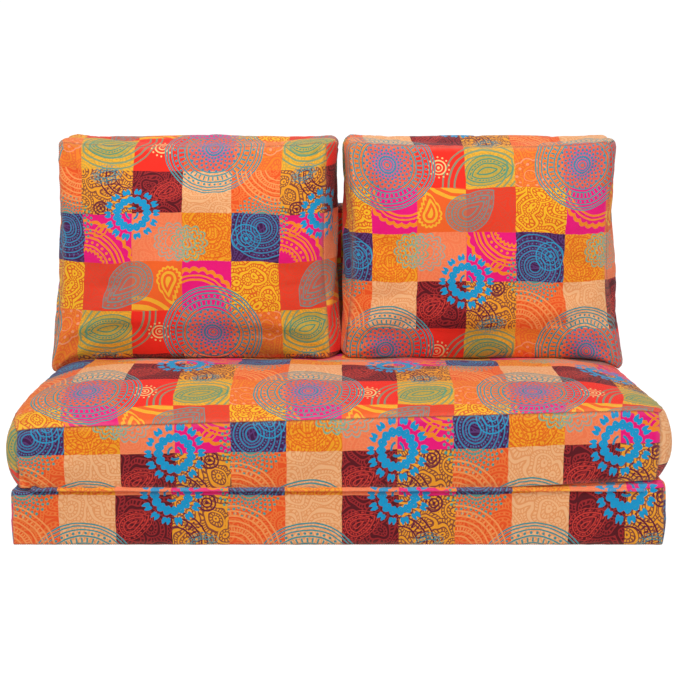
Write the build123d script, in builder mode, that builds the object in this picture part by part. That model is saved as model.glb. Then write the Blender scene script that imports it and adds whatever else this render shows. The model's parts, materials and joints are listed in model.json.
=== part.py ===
from build123d import *

import os
from math import cos, radians, sin, sqrt, tan

# Tri-fold sofa bed of three foam sections and two loose box pillows.
# Millimetres. The front faces -Y, +X is to the right of someone who looks at the front, +Z is up.
# The origin is on the floor, below the middle of the whole object.

# Mattress sections
MATTRESS_WIDTH = 1200.0
SECTION_LENGTH = 580.0
SECTION_THICKNESS = 108.0
LAYER_GAP = 0.3
REAR_GAP = 10.0
EDGE_RADIUS = 12.0
END_RADIUS = 10.0

# Sewn covers and what they hold
COVER = 2.0
CORE_CLEARANCE = 0.3

# Seat section: boxing up to the front seam, crown above it
SEAT_BOXING = 127.0
SEAT_CROWN = 31.0
CROWN_RUN = 300.0
SEAT_REAR_RADIUS = 50.0
SEAT_FRONT_BULGE = 5.0
SEAT_END_BULGE = 22.0
SEAT_END_TAPER = 122.0
SEAT_END_SINK = 58.0
SEAT_END_LIFT = 28.0

# Pillows
PILLOW_WIDTH = 598.0
PILLOW_HEIGHT = 480.0
PILLOW_BOXING = 140.0
PILLOW_GAP = 12.0
PILLOW_LEAN_DEGREES = 8.0
FRONT_CROWN = 40.0
FRONT_CROWN_INSET = 150.0
REAR_CROWN = 35.0
REAR_BEVEL_INSET = 45.0
PILLOW_TOP_RADIUS = 30.0
PILLOW_LOW_RADIUS = 16.0
SIDE_DRAW_IN = 8.0
TOP_DRAW_IN = 5.0

# Fabric hinges between the sections
HINGE_BEAD_RADIUS = 2.0
HINGE_END_INSET = 40.0
BRIDGE_THICKNESS = 1.2
BRIDGE_LOW = 22.0
FOLD_PIVOT_DEPTH = 84.0

# Zips, sliders and pull tabs
ZIP_TAPE_WIDTH = 24.0
BASE_ZIP_LENGTH = 440.0
SEAT_ZIP_LENGTH = 380.0
BACKREST_ZIP_LENGTH = 420.0
PILLOW_ZIP_LENGTH = 400.0
COIL_WIDTH = 5.0
COIL_HEIGHT = 1.6
ZIP_END_MARGIN = 14.0
SLIDER_LENGTH = 12.0
SLIDER_WALL = 1.6
SLIDER_PLATE = 1.4
SLIDER_CLEARANCE = 0.3
BAR_RADIUS = 0.8
BAR_CLEARANCE = 0.1
EYE_WALL = 0.9
EYE_WIDTH = 3.0
EAR_WALL = 1.2
PULL_LENGTH = 26.0
PULL_WIDTH = 7.6
PULL_THICKNESS = 1.4
PULL_CORNER = 2.2
NECK_LENGTH = 7.0
OVERRUN = 1.0

# Shares, chosen by hand: stations of the seat's end, from its straight middle outwards
SEAT_END_SHARES = (0.00, 0.35, 0.60, 0.78, 0.90, 0.97, 1.00)
# How square the end is in plan and how square its crown is: the powers of two rounded outlines
PLAN_POWER = 5.0
CROWN_POWER = 2.5
SEAM_SINK_SHARE = 0.5
# Stations of the pillow's front crown, from its seam inwards
CROWN_SHARES = (0.04, 0.13, 0.27, 0.46, 0.70, 1.00)
SLOT_DEPTH_SHARE = 2.0
PARKED_SHARE = 0.5
QUARTER_ARC_SHARE = 1 - sqrt(0.5)

# Places worked out from the sizes above
TOTAL_DEPTH = SEAT_FRONT_BULGE + SECTION_LENGTH + REAR_GAP + SECTION_THICKNESS
FRONT_Y = SEAT_FRONT_BULGE - TOTAL_DEPTH / 2
REAR_Y = FRONT_Y + SECTION_LENGTH
MIDDLE_Y = (FRONT_Y + REAR_Y) / 2
BACKREST_FRONT_Y = REAR_Y + REAR_GAP
BACKREST_REAR_Y = BACKREST_FRONT_Y + SECTION_THICKNESS
HALF_WIDTH = MATTRESS_WIDTH / 2

SEAT_LOW_Z = SECTION_THICKNESS + LAYER_GAP
SEAT_SEAM_Z = SEAT_LOW_Z + SEAT_BOXING
SEAT_TOP_Z = SEAT_SEAM_Z + SEAT_CROWN
SEAT_STRAIGHT_X = HALF_WIDTH + SEAT_END_BULGE - SEAT_END_TAPER
CORE_INSET = COVER + CORE_CLEARANCE

FOLD_PIVOT_HEIGHT = SECTION_THICKNESS - FOLD_PIVOT_DEPTH

LEAN = radians(PILLOW_LEAN_DEGREES)
PILLOW_LOW_Z = SEAT_TOP_Z + LAYER_GAP
PILLOW_CENTRE_X = (PILLOW_WIDTH + PILLOW_GAP) / 2
LEAN_HEIGHT = SECTION_LENGTH - EDGE_RADIUS - PILLOW_LOW_Z
LEAN_REACH = (EDGE_RADIUS + LAYER_GAP) / cos(LEAN) - EDGE_RADIUS
PILLOW_REAR_Y = BACKREST_FRONT_Y - LEAN_HEIGHT * tan(LEAN) - LEAN_REACH
REAR_SEAM_Y = PILLOW_REAR_Y - REAR_CROWN
FRONT_SEAM_Y = REAR_SEAM_Y - PILLOW_BOXING

PLATE_LOW = COIL_HEIGHT + SLIDER_CLEARANCE
SLIDER_TOP = PLATE_LOW + SLIDER_PLATE
SLIDER_WIDTH = COIL_WIDTH + 2 * (SLIDER_CLEARANCE + SLIDER_WALL)
EYE_RADIUS = BAR_RADIUS + BAR_CLEARANCE + EYE_WALL
BAR_HEIGHT = SLIDER_TOP + EYE_RADIUS + SLIDER_CLEARANCE
EAR_LENGTH = 2 * EYE_RADIUS
EAR_OFFSET = (EYE_WIDTH + EAR_WALL) / 2 + SLIDER_CLEARANCE

os.makedirs("parts", exist_ok=True)


def write_node(piece, node):
    """Label a finished piece and write its STEP file."""
    piece.part.label = node
    export_step(piece.part, f"parts/{node}.step")


def on_plane(plane, along, across, height):
    """A place given in a plane's own directions."""
    return plane.location * Location((along, across, height))


def quarter_arc(start, end, corner):
    """A round corner from start to end, inside the sharp corner that they share."""
    middle = tuple(
        c + (s + e - 2 * c) * QUARTER_ARC_SHARE for s, e, c in zip(start, end, corner)
    )
    return ThreePointArc(start, middle, end)


def slab_form(front, low, depth, height, radii, inset):
    """A flat section, a rounded rectangle from its end. A core, past the cover, has cut edges."""
    rear = front + depth - inset
    high = low + height - inset
    corners = (
        (front + inset, low + inset),
        (rear, low + inset),
        (rear, high),
        (front + inset, high),
    )
    with BuildPart() as form:
        with BuildSketch(Plane.YZ):
            with BuildLine():
                FilletPolyline(*corners, radius=[radius - inset for radius in radii], close=True)
            make_face()
        extrude(amount=HALF_WIDTH - inset, both=True)
        end_edges = form.faces().filter_by(Axis.X).edges()
        if inset > COVER:
            chamfer(end_edges, END_RADIUS - inset)
        else:
            fillet(end_edges, END_RADIUS - inset)
    return form.part


def seat_section(distance, draw_in, sink, lift, inset):
    """The seat's outline in a plane across its width, at a distance from the middle."""
    front = FRONT_Y + draw_in + inset
    rear = REAR_Y - draw_in - inset
    low = SEAT_LOW_Z + lift + inset
    top = SEAT_TOP_Z - sink - inset
    seam = SEAT_SEAM_Z - sink * SEAM_SINK_SHARE - inset
    corner = EDGE_RADIUS - inset
    shoulder = SEAT_REAR_RADIUS - inset
    rise = top - seam
    crown_radius = (CROWN_RUN**2 + rise**2) / (2 * rise)
    crown_end = front + CROWN_RUN
    half_run = CROWN_RUN / 2
    crown_middle = top - crown_radius + sqrt(crown_radius**2 - half_run**2)
    face_middle = (low + corner + seam) / 2
    with BuildSketch(Plane.YZ.offset(distance)) as section:
        with BuildLine():
            Line((front + corner, low), (rear - corner, low))
            quarter_arc((rear - corner, low), (rear, low + corner), (rear, low))
            Line((rear, low + corner), (rear, top - shoulder))
            quarter_arc((rear, top - shoulder), (rear - shoulder, top), (rear, top))
            Line((rear - shoulder, top), (crown_end, top))
            ThreePointArc((crown_end, top), (front + half_run, crown_middle), (front, seam))
            ThreePointArc(
                (front, seam), (front - SEAT_FRONT_BULGE, face_middle), (front, low + corner)
            )
            quarter_arc((front, low + corner), (front + corner, low), (front, low))
        make_face()
    return section.sketch


def rounding(along, power):
    """How far a rounded end has drawn in, from 0 to 1, at a share of its taper."""
    return 1 - (1 - along**power) ** (1 / power)


def seat_form(inset):
    """The crowned seat: a straight middle and two ends that swell out and sink at their edges."""
    sections = []
    for along in SEAT_END_SHARES:
        draw_in = rounding(along, PLAN_POWER) * SEAT_END_LIFT
        sink = rounding(along, CROWN_POWER) * SEAT_END_SINK
        distance = SEAT_STRAIGHT_X + along * (SEAT_END_TAPER - inset)
        sections.append(seat_section(distance, draw_in, sink, draw_in, inset))
    with BuildPart() as form:
        extrude(
            seat_section(0, 0, 0, 0, inset), amount=SEAT_STRAIGHT_X, dir=(1, 0, 0), both=True
        )
        right_end = loft(sections, ruled=True)
        mirror(right_end, about=Plane.YZ)
    return form.part


def pillow_plane(centre, rear):
    """A plane that leans back like the pillow's face. Its own Y runs up the face."""
    return Plane(
        origin=(centre, rear, PILLOW_LOW_Z),
        x_dir=(1, 0, 0),
        z_dir=(0, -cos(LEAN), sin(LEAN)),
    )


def pillow_outline(plane, inset):
    """The pillow's outline in one of its leaning planes, with sides drawn in between the corners."""
    half = PILLOW_WIDTH / 2 - inset
    high = PILLOW_HEIGHT - inset
    low = inset
    middle = (low + high) / 2
    top = PILLOW_TOP_RADIUS
    foot = PILLOW_LOW_RADIUS
    ease = 1 - inset / (PILLOW_WIDTH / 2)
    with BuildSketch(plane) as outline:
        with BuildLine():
            Line((-half + foot, low), (half - foot, low))
            quarter_arc((half - foot, low), (half, low + foot), (half, low))
            ThreePointArc(
                (half, low + foot), (half - SIDE_DRAW_IN * ease, middle), (half, high - top)
            )
            quarter_arc((half, high - top), (half - top, high), (half, high))
            ThreePointArc((half - top, high), (0, high - TOP_DRAW_IN * ease), (-half + top, high))
            quarter_arc((-half + top, high), (-half, high - top), (-half, high))
            ThreePointArc(
                (-half, high - top), (-half + SIDE_DRAW_IN * ease, middle), (-half, low + foot)
            )
            quarter_arc((-half, low + foot), (-half + foot, low), (-half, low))
        make_face()
    return outline.sketch


def pillow_form(centre, inset):
    """A box pillow: rear bevel with a flat middle, straight boxing and a round front crown."""
    rear_seam = pillow_outline(pillow_plane(centre, REAR_SEAM_Y), inset)
    front_seam = pillow_outline(pillow_plane(centre, FRONT_SEAM_Y), inset)
    rear_flat = pillow_outline(
        pillow_plane(centre, PILLOW_REAR_Y - inset), REAR_BEVEL_INSET + inset
    )
    crown = [front_seam]
    for draw in CROWN_SHARES:
        crown_y = FRONT_SEAM_Y - sqrt(1 - (1 - draw) ** 2) * (FRONT_CROWN - inset)
        crown.append(
            pillow_outline(pillow_plane(centre, crown_y), draw * FRONT_CROWN_INSET + inset)
        )
    with BuildPart() as form:
        loft([rear_flat, rear_seam], ruled=True)
        loft([rear_seam, front_seam], ruled=True)
        loft(crown, ruled=True)
    return form.part


def skin_of(form, *sizes):
    """The cover of a form: the space between its outer face and the lining's inner face."""
    with BuildPart() as skin:
        add(form(*sizes, 0))
        add(form(*sizes, COVER), mode=Mode.SUBTRACT)
    return skin.part


def write_cover(unit, skin, low_seam, high_seam, names, zip_plane, zip_length):
    """Cut one cover at its two seams into panel, boxing and panel, and set its zip in the boxing."""
    low_name, boxing_name, high_name, zipped_name = names
    slot = (
        zip_length,
        ZIP_TAPE_WIDTH,
        SLOT_DEPTH_SHARE * COVER + OVERRUN,
    )
    slot_place = on_plane(zip_plane, 0, 0, OVERRUN - slot[2] / 2)
    regions = (
        (low_name, ((low_seam, Keep.BOTTOM),)),
        (boxing_name, ((low_seam, Keep.TOP), (high_seam, Keep.BOTTOM))),
        (high_name, ((high_seam, Keep.TOP),)),
    )
    for name, cuts in regions:
        with BuildPart() as panel:
            add(skin)
            for seam, side in cuts:
                split(bisect_by=seam, keep=side)
            if name == zipped_name:
                with Locations(slot_place):
                    Box(*slot, mode=Mode.SUBTRACT)
        write_node(panel, f"{unit}_{name}")

    with BuildPart() as tape:
        add(skin)
        with Locations(slot_place):
            Box(*slot, mode=Mode.INTERSECT)
        with Locations(on_plane(zip_plane, 0, 0, COIL_HEIGHT / 2)):
            Box(zip_length - 2 * ZIP_END_MARGIN, COIL_WIDTH, COIL_HEIGHT)
    write_node(tape, f"{unit}_zip")
    write_slider(unit, zip_plane, zip_length)


def write_slider(unit, zip_plane, zip_length):
    """Slider that straddles the coil, parked at the closed end, and the pull tab on its bar."""
    parked = -(zip_length * PARKED_SHARE - ZIP_END_MARGIN - SLIDER_LENGTH / 2)
    body_height = SLIDER_TOP - SLIDER_CLEARANCE
    ear_height = BAR_HEIGHT + EYE_RADIUS - SLIDER_TOP
    with BuildPart() as slider:
        with Locations(on_plane(zip_plane, parked, 0, SLIDER_CLEARANCE + body_height / 2)):
            Box(SLIDER_LENGTH, SLIDER_WIDTH, body_height)
        with Locations(on_plane(zip_plane, parked, 0, PLATE_LOW / 2)):
            Box(
                SLIDER_LENGTH + OVERRUN,
                COIL_WIDTH + 2 * SLIDER_CLEARANCE,
                PLATE_LOW,
                mode=Mode.SUBTRACT,
            )
        ears = [
            on_plane(zip_plane, parked, side * EAR_OFFSET, SLIDER_TOP + ear_height / 2)
            for side in (-1, 1)
        ]
        with Locations(ears):
            Box(EAR_LENGTH, EAR_WALL, ear_height)
        with Locations(on_plane(zip_plane, parked, 0, BAR_HEIGHT)):
            Cylinder(BAR_RADIUS, 2 * EAR_OFFSET, rotation=(90, 0, 0))
    write_node(slider, f"{unit}_zip_slider")

    tab_length = PULL_LENGTH - NECK_LENGTH
    neck_middle = parked - NECK_LENGTH / 2
    tab_middle = parked - NECK_LENGTH - tab_length / 2
    with BuildPart() as pull:
        with Locations(on_plane(zip_plane, parked, 0, BAR_HEIGHT)):
            Cylinder(EYE_RADIUS, EYE_WIDTH, rotation=(90, 0, 0))
        with Locations(on_plane(zip_plane, neck_middle, 0, BAR_HEIGHT)):
            Box(NECK_LENGTH, EYE_WIDTH, PULL_THICKNESS)
        with BuildSketch(Plane(on_plane(zip_plane, tab_middle, 0, BAR_HEIGHT))):
            RectangleRounded(tab_length, PULL_WIDTH, PULL_CORNER)
        extrude(amount=PULL_THICKNESS / 2, both=True)
        with Locations(on_plane(zip_plane, parked, 0, BAR_HEIGHT)):
            Cylinder(
                BAR_RADIUS + BAR_CLEARANCE, EYE_WIDTH, rotation=(90, 0, 0), mode=Mode.SUBTRACT
            )
    write_node(pull, f"{unit}_zip_pull")


# Base section, flat on the floor
base_size = (
    FRONT_Y,
    0,
    SECTION_LENGTH,
    SECTION_THICKNESS,
    (EDGE_RADIUS, EDGE_RADIUS, EDGE_RADIUS, EDGE_RADIUS),
)
end_zip_plane = Plane(
    origin=(HALF_WIDTH, MIDDLE_Y, SECTION_THICKNESS / 2), x_dir=(0, 1, 0), z_dir=(1, 0, 0)
)
write_cover(
    "base",
    skin_of(slab_form, *base_size),
    Plane.XY.offset(EDGE_RADIUS),
    Plane.XY.offset(SECTION_THICKNESS - EDGE_RADIUS),
    ("bottom_panel", "boxing", "top_panel", "boxing"),
    end_zip_plane,
    BASE_ZIP_LENGTH,
)
with BuildPart() as base_foam_core:
    add(slab_form(*base_size, CORE_INSET))
write_node(base_foam_core, "base_foam_core")

# Seat section, lying on the base
seat_cap_x = HALF_WIDTH + SEAT_END_BULGE
seat_cap_low = SEAT_LOW_Z + SEAT_END_LIFT
seat_cap_high = SEAT_TOP_Z - SEAT_END_SINK
seat_zip_plane = Plane(
    origin=(seat_cap_x, MIDDLE_Y, (seat_cap_low + seat_cap_high) / 2),
    x_dir=(0, 1, 0),
    z_dir=(1, 0, 0),
)
write_cover(
    "seat",
    skin_of(seat_form),
    Plane.XY.offset(SEAT_LOW_Z + EDGE_RADIUS),
    Plane.XY.offset(SEAT_SEAM_Z),
    ("bottom_panel", "boxing", "top_panel", "boxing"),
    seat_zip_plane,
    SEAT_ZIP_LENGTH,
)
foam_top = Plane.XY.offset(SEAT_SEAM_Z - EDGE_RADIUS)
with BuildPart() as seat_foam_core:
    add(seat_form(CORE_INSET))
    split(bisect_by=foam_top, keep=Keep.BOTTOM)
write_node(seat_foam_core, "seat_foam_core")
with BuildPart() as seat_crown_wadding:
    add(seat_form(CORE_INSET))
    split(bisect_by=foam_top, keep=Keep.TOP)
write_node(seat_crown_wadding, "seat_crown_wadding")

# Backrest section, standing behind the stack on its round heel
backrest_size = (
    BACKREST_FRONT_Y,
    0,
    SECTION_THICKNESS,
    SECTION_LENGTH,
    (EDGE_RADIUS, FOLD_PIVOT_HEIGHT, EDGE_RADIUS, EDGE_RADIUS),
)
side_zip_plane = Plane(
    origin=(HALF_WIDTH, (BACKREST_FRONT_Y + BACKREST_REAR_Y) / 2, SECTION_LENGTH / 2),
    x_dir=(0, 0, 1),
    z_dir=(1, 0, 0),
)
write_cover(
    "backrest",
    skin_of(slab_form, *backrest_size),
    Plane.XZ.offset(-(BACKREST_REAR_Y - EDGE_RADIUS)),
    Plane.XZ.offset(-(BACKREST_FRONT_Y + EDGE_RADIUS)),
    ("rear_panel", "boxing", "front_panel", "boxing"),
    side_zip_plane,
    BACKREST_ZIP_LENGTH,
)
with BuildPart() as backrest_foam_core:
    add(slab_form(*backrest_size, CORE_INSET))
write_node(backrest_foam_core, "backrest_foam_core")

# Two box pillows, standing on the seat and leaning on the top edge of the backrest
bevel_run = REAR_CROWN + REAR_BEVEL_INSET * sin(LEAN)
bevel_rise = REAR_BEVEL_INSET * cos(LEAN)
for unit, side in (("pillow_left", -1), ("pillow_right", 1)):
    centre = side * PILLOW_CENTRE_X
    bevel_plane = Plane(
        origin=(centre, REAR_SEAM_Y + bevel_run / 2, PILLOW_LOW_Z + bevel_rise / 2),
        x_dir=(1, 0, 0),
        z_dir=(0, bevel_rise, -bevel_run),
    )
    write_cover(
        unit,
        skin_of(pillow_form, centre),
        pillow_plane(centre, REAR_SEAM_Y),
        pillow_plane(centre, FRONT_SEAM_Y),
        ("back_panel", "boxing", "front_panel", "back_panel"),
        bevel_plane,
        PILLOW_ZIP_LENGTH,
    )
    with BuildPart() as pillow_fill:
        add(pillow_form(centre, CORE_INSET))
    write_node(pillow_fill, f"{unit}_fill")

# Rolled seam that joins base and seat along the front, lying in the crease below the seat
bead_z = SECTION_THICKNESS - HINGE_BEAD_RADIUS
bead_reach = EDGE_RADIUS + HINGE_BEAD_RADIUS + LAYER_GAP
bead_rise = EDGE_RADIUS - HINGE_BEAD_RADIUS
bead_y = FRONT_Y + EDGE_RADIUS - sqrt(bead_reach**2 - bead_rise**2)
with BuildPart() as front_hinge_seam:
    with BuildSketch(Plane.YZ):
        with Locations((bead_y, bead_z)):
            Circle(HINGE_BEAD_RADIUS)
    extrude(amount=HALF_WIDTH - HINGE_END_INSET, both=True)
write_node(front_hinge_seam, "front_hinge_seam")

# Cloth strip that joins base and backrest, hanging in the gap between them
bridge_height = SECTION_THICKNESS - EDGE_RADIUS - BRIDGE_LOW
bridge_place = (0, REAR_Y + LAYER_GAP + BRIDGE_THICKNESS / 2, BRIDGE_LOW + bridge_height / 2)
with BuildPart() as rear_bridge:
    with Locations(bridge_place):
        Box(2 * (HALF_WIDTH - HINGE_END_INSET), BRIDGE_THICKNESS, bridge_height)
write_node(rear_bridge, "rear_bridge")
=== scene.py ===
"""Looks of a fold-out sofa bed: foam sections and loose box pillows in a patchwork cover.

Metres throughout. The front faces -Y, +X is to the right of someone who looks at the front.
"""

from __future__ import annotations

import json
import logging
import math
from dataclasses import dataclass, field
from enum import Enum

import bpy
import numpy as np
from mathutils import Matrix, Vector

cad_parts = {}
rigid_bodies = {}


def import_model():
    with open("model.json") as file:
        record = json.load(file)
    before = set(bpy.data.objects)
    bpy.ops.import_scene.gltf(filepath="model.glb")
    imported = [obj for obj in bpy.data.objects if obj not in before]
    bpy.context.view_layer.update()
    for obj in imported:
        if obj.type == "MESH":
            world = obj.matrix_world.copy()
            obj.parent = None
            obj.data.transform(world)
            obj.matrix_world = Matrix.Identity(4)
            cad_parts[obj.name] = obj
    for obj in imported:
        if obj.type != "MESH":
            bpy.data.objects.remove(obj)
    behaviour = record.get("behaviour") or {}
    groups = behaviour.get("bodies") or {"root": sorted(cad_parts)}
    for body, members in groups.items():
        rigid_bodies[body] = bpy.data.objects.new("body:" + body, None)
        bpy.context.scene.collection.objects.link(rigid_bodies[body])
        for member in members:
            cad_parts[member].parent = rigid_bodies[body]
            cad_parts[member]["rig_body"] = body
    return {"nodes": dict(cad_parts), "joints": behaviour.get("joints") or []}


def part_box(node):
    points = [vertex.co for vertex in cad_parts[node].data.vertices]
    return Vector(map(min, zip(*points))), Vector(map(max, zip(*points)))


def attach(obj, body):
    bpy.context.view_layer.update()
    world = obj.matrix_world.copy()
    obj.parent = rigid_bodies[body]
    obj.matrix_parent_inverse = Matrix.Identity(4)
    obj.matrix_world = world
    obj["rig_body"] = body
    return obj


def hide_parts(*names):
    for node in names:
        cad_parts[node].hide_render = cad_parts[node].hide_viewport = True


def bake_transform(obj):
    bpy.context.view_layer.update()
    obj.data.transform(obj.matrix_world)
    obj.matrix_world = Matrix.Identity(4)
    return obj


Array = np.ndarray
Socket = bpy.types.NodeSocket

LOG = logging.getLogger("sofa_bed")
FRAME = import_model()
JOINTS = {joint["name"]: joint for joint in FRAME["joints"]}
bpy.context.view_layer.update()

# Lines of the object that several pieces share
FRONT_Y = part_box("base_bottom_panel")[0].y
REAR_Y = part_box("base_bottom_panel")[1].y
BACKREST_FRONT_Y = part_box("backrest_front_panel")[0].y
HALF_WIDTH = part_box("base_bottom_panel")[1].x
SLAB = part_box("base_top_panel")[1].z
SECTION = REAR_Y - FRONT_Y
SEAT_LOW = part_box("seat_bottom_panel")[0].z
SEAT_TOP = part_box("seat_top_panel")[1].z
SEAT_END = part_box("seat_boxing")[1].x
SEAT_BOXING = 0.127  # from the seat's underside to its front seam
PILLOW_LEAN = math.radians(8.0)
ZIP_RECESS = 0.0012  # how far the cloth lies behind a zip's tape
NEAR_SEAM = (0.0, 0.0025, 0.006, 0.011, 0.018)  # where grid lines lie beside a seam

# The print: a patch's width, the patches in a repeat, and the height of a patch's edge on two fronts
TILE = 0.1039
REPEAT = 4.0
BASE_PATCH_Z, SEAT_PATCH_Z = 0.098, 0.179

RAY_SHARE = 0.34  # of the room between two rays
GAP_EDGE = -0.55  # where a cosine cuts an ornament into clusters
WHOLE_TURNS = 50.0  # keeps a number of turns above zero before its fraction is taken

WHITE, BLACK = (1.0, 1.0, 1.0, 1.0), (0.0, 0.0, 0.0, 1.0)
FLOAT, COLOUR, NORMAL = "NodeSocketFloat", "NodeSocketColor", "NodeSocketVector"


class Side(Enum):
    """The panels of one boxed cover, as seen by someone who faces its main panel."""

    MAIN = 0
    BACK = 1
    LOW = 2
    RIGHT = 3
    HIGH = 4
    LEFT = 5


def linear(hex_colour: str) -> tuple[float, float, float, float]:
    """The linear colour of a written one.

    Args:
        hex_colour: Six hexadecimal digits.

    Returns:
        Red, green, blue and an opacity of 1.
    """
    channels = [int(hex_colour[i : i + 2], 16) / 255 for i in (0, 2, 4)]
    return tuple(c / 12.92 if c <= 0.04045 else ((c + 0.055) / 1.055) ** 2.4 for c in channels) + (1.0,)


def ripple(x: Array, y: Array, size: float, seed: int, waves: int = 9) -> Array:
    """Soft uneven waves, the same on every run.

    Args:
        x: Places along.
        y: Places across.
        size: Usual distance from crest to crest.
        seed: Which pattern of waves.
        waves: How many plain waves are added up.

    Returns:
        Heights of about -1 to 1.
    """
    chance = np.random.default_rng(seed)
    total = np.zeros_like(x)
    for turn, phase, pace in zip(
        chance.uniform(0, math.pi, waves), chance.uniform(0, 2 * math.pi, waves), chance.uniform(0.6, 1.6, waves)
    ):
        total += np.cos(2 * math.pi * pace / size * (x * math.cos(turn) + y * math.sin(turn)) + phase)
    return total / math.sqrt(2 * waves)


def smooth(value: Array, low: float, high: float) -> Array:
    """A soft step from 0 at low to 1 at high."""
    share = np.clip((value - low) / (high - low), 0.0, 1.0)
    return share * share * (3 - 2 * share)


def within(value: Array, low: float, high: float) -> Array:
    """1 as far as low on both sides of zero, softly down to 0 at high."""
    return 1 - smooth(np.abs(value), low, high)


def rounding(along: Array, power: float) -> Array:
    """How far a rounded end has drawn in, from 0 to 1, at a share of its taper."""
    share = np.clip(along, 0.0, 1.0)
    return 1 - (1 - share**power) ** (1 / power)


def corner_lift(x: Array, y: Array) -> Array:
    """How far the cloth between base and seat has worked up at the right end of the front."""
    height, start_x, full_x, full_run, end_run = 0.016, 0.20, 0.65, 0.04, 0.22
    return height * smooth(x, start_x, full_x) * (1 - smooth(y, FRONT_Y + full_run, FRONT_Y + end_run))


def grid_lines(length: float, step: float, near: tuple[float, ...] = NEAR_SEAM) -> Array:
    """Grid lines over a length, closer together near both ends.

    Args:
        length: Whole length.
        step: Distance between lines away from the ends.
        near: Distances from an end at which lines lie.

    Returns:
        Places from -1 to 1.
    """
    inner = length - 2 * near[-1]
    count = max(2, round(inner / step))
    middle = near[-1] + np.arange(1, count) * inner / count
    distances = np.concatenate([np.array(near), middle, length - np.array(near)[::-1]])
    return distances / length * 2 - 1


def new_piece(name: str, data: bpy.types.ID) -> bpy.types.Object:
    """Make an object of a mesh, curve, lamp or camera and put it into the scene."""
    piece = bpy.data.objects.new(name, data)
    bpy.context.scene.collection.objects.link(piece)
    return piece


def cloth_piece(name: str, points: list, faces: list, coords: Array, seam: Array) -> bpy.types.Object:
    """Make a piece of printed cloth.

    Args:
        name: The piece's name.
        points: Its points.
        faces: Its faces.
        coords: The print's coordinates at each corner of each face.
        seam: How far each point is from the nearest seam.

    Returns:
        The object, without a material.
    """
    mesh = bpy.data.meshes.new(name)
    mesh.from_pydata(points, [], faces)
    mesh.uv_layers.new(name="cloth").data.foreach_set("uv", coords.astype(np.float32).reshape(-1))
    mesh.attributes.new("seam", "FLOAT", "POINT").data.foreach_set("value", seam.astype(np.float32))
    mesh.shade_smooth()
    return new_piece(name, mesh)


@dataclass
class BoxGrid:
    """A closed box of cloth panels, cut into quads, before it gets its shape."""

    half_width: float
    half_height: float
    thickness: float
    step: float = 0.012
    a: Array = field(init=False)
    b: Array = field(init=False)
    w: Array = field(init=False)
    faces: Array = field(init=False)
    sides: Array = field(init=False)
    seams: dict[float, list[int]] = field(init=False)

    def __post_init__(self) -> None:
        """Number the points and join them into quads."""
        across = grid_lines(2 * self.half_width, self.step)
        up = grid_lines(2 * self.half_height, self.step)
        depth = (grid_lines(self.thickness, self.step, NEAR_SEAM[:-1]) + 1) / 2
        n, m, k = len(across) - 1, len(up) - 1, len(depth) - 1
        column, row = np.meshgrid(across, up, indexing="ij")
        plane = (n + 1) * (m + 1)
        front = np.arange(plane).reshape(n + 1, m + 1)
        back = front + plane
        path = (
            [(i, 0) for i in range(n)]
            + [(n, j) for j in range(m)]
            + [(i, m) for i in range(n, 0, -1)]
            + [(0, j) for j in range(m, 0, -1)]
        )
        path_i = np.array([p[0] for p in path])
        path_j = np.array([p[1] for p in path])
        rings = [back[path_i, path_j]]
        a, b = [column.ravel()] * 2, [row.ravel()] * 2
        w = [np.ones(plane), np.zeros(plane)]
        for level in range(1, k):
            rings.append(2 * plane + (level - 1) * len(path) + np.arange(len(path)))
            a.append(across[path_i])
            b.append(up[path_j])
            w.append(np.full(len(path), depth[level]))
        rings.append(front[path_i, path_j])
        self.a, self.b, self.w = np.concatenate(a), np.concatenate(b), np.concatenate(w)
        quads = [
            np.stack([front[:-1, :-1], front[1:, :-1], front[1:, 1:], front[:-1, 1:]], -1).reshape(-1, 4),
            np.stack([back[:-1, :-1], back[:-1, 1:], back[1:, 1:], back[1:, :-1]], -1).reshape(-1, 4),
        ]
        sides = [np.full(n * m, Side.MAIN.value), np.full(n * m, Side.BACK.value)]
        strip_side = np.repeat([Side.LOW.value, Side.RIGHT.value, Side.HIGH.value, Side.LEFT.value], [n, m, n, m])
        for low, high in zip(rings[:-1], rings[1:]):
            quads.append(np.stack([low, np.roll(low, -1), np.roll(high, -1), high], -1))
            sides.append(strip_side)
        self.faces, self.sides = np.concatenate(quads), np.concatenate(sides)
        self.seams = {1.0: rings[-1].tolist(), 0.0: rings[0].tolist()}

    def path(self, level: float) -> list[int]:
        """The points round one seam, in order: 1 for the main panel's, 0 for the back's."""
        return self.seams[level]

    def seam_distance(self) -> Array:
        """How far each point is from the nearest seam, over the cloth."""
        to_side = self.half_width * (1 - np.abs(self.a))
        to_end = self.half_height * (1 - np.abs(self.b))
        depth = self.w * self.thickness
        on_boxing = (self.w > 0) & (self.w < 1)
        boxing = np.minimum(np.minimum(depth, self.thickness - depth), np.maximum(to_side, to_end))
        return np.where(on_boxing, boxing, np.minimum(to_side, to_end))

    def cut_places(self) -> Array:
        """Where each face corner lies on the flat cloth, in metres, the boxing folded out from the main panel.

        Returns:
            Two numbers for each corner of each face.
        """
        x, y = self.a[self.faces] * self.half_width, self.b[self.faces] * self.half_height
        depth = (1 - self.w[self.faces]) * self.thickness
        side = self.sides[:, None]
        along = np.select(
            [side == Side.BACK.value, side == Side.RIGHT.value, side == Side.LEFT.value],
            [-x, self.half_width + depth, -self.half_width - depth],
            x,
        )
        up = np.select(
            [side == Side.HIGH.value, side == Side.LOW.value],
            [self.half_height + depth, -self.half_height - depth],
            y,
        )
        return np.stack([along, up], -1)


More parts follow.
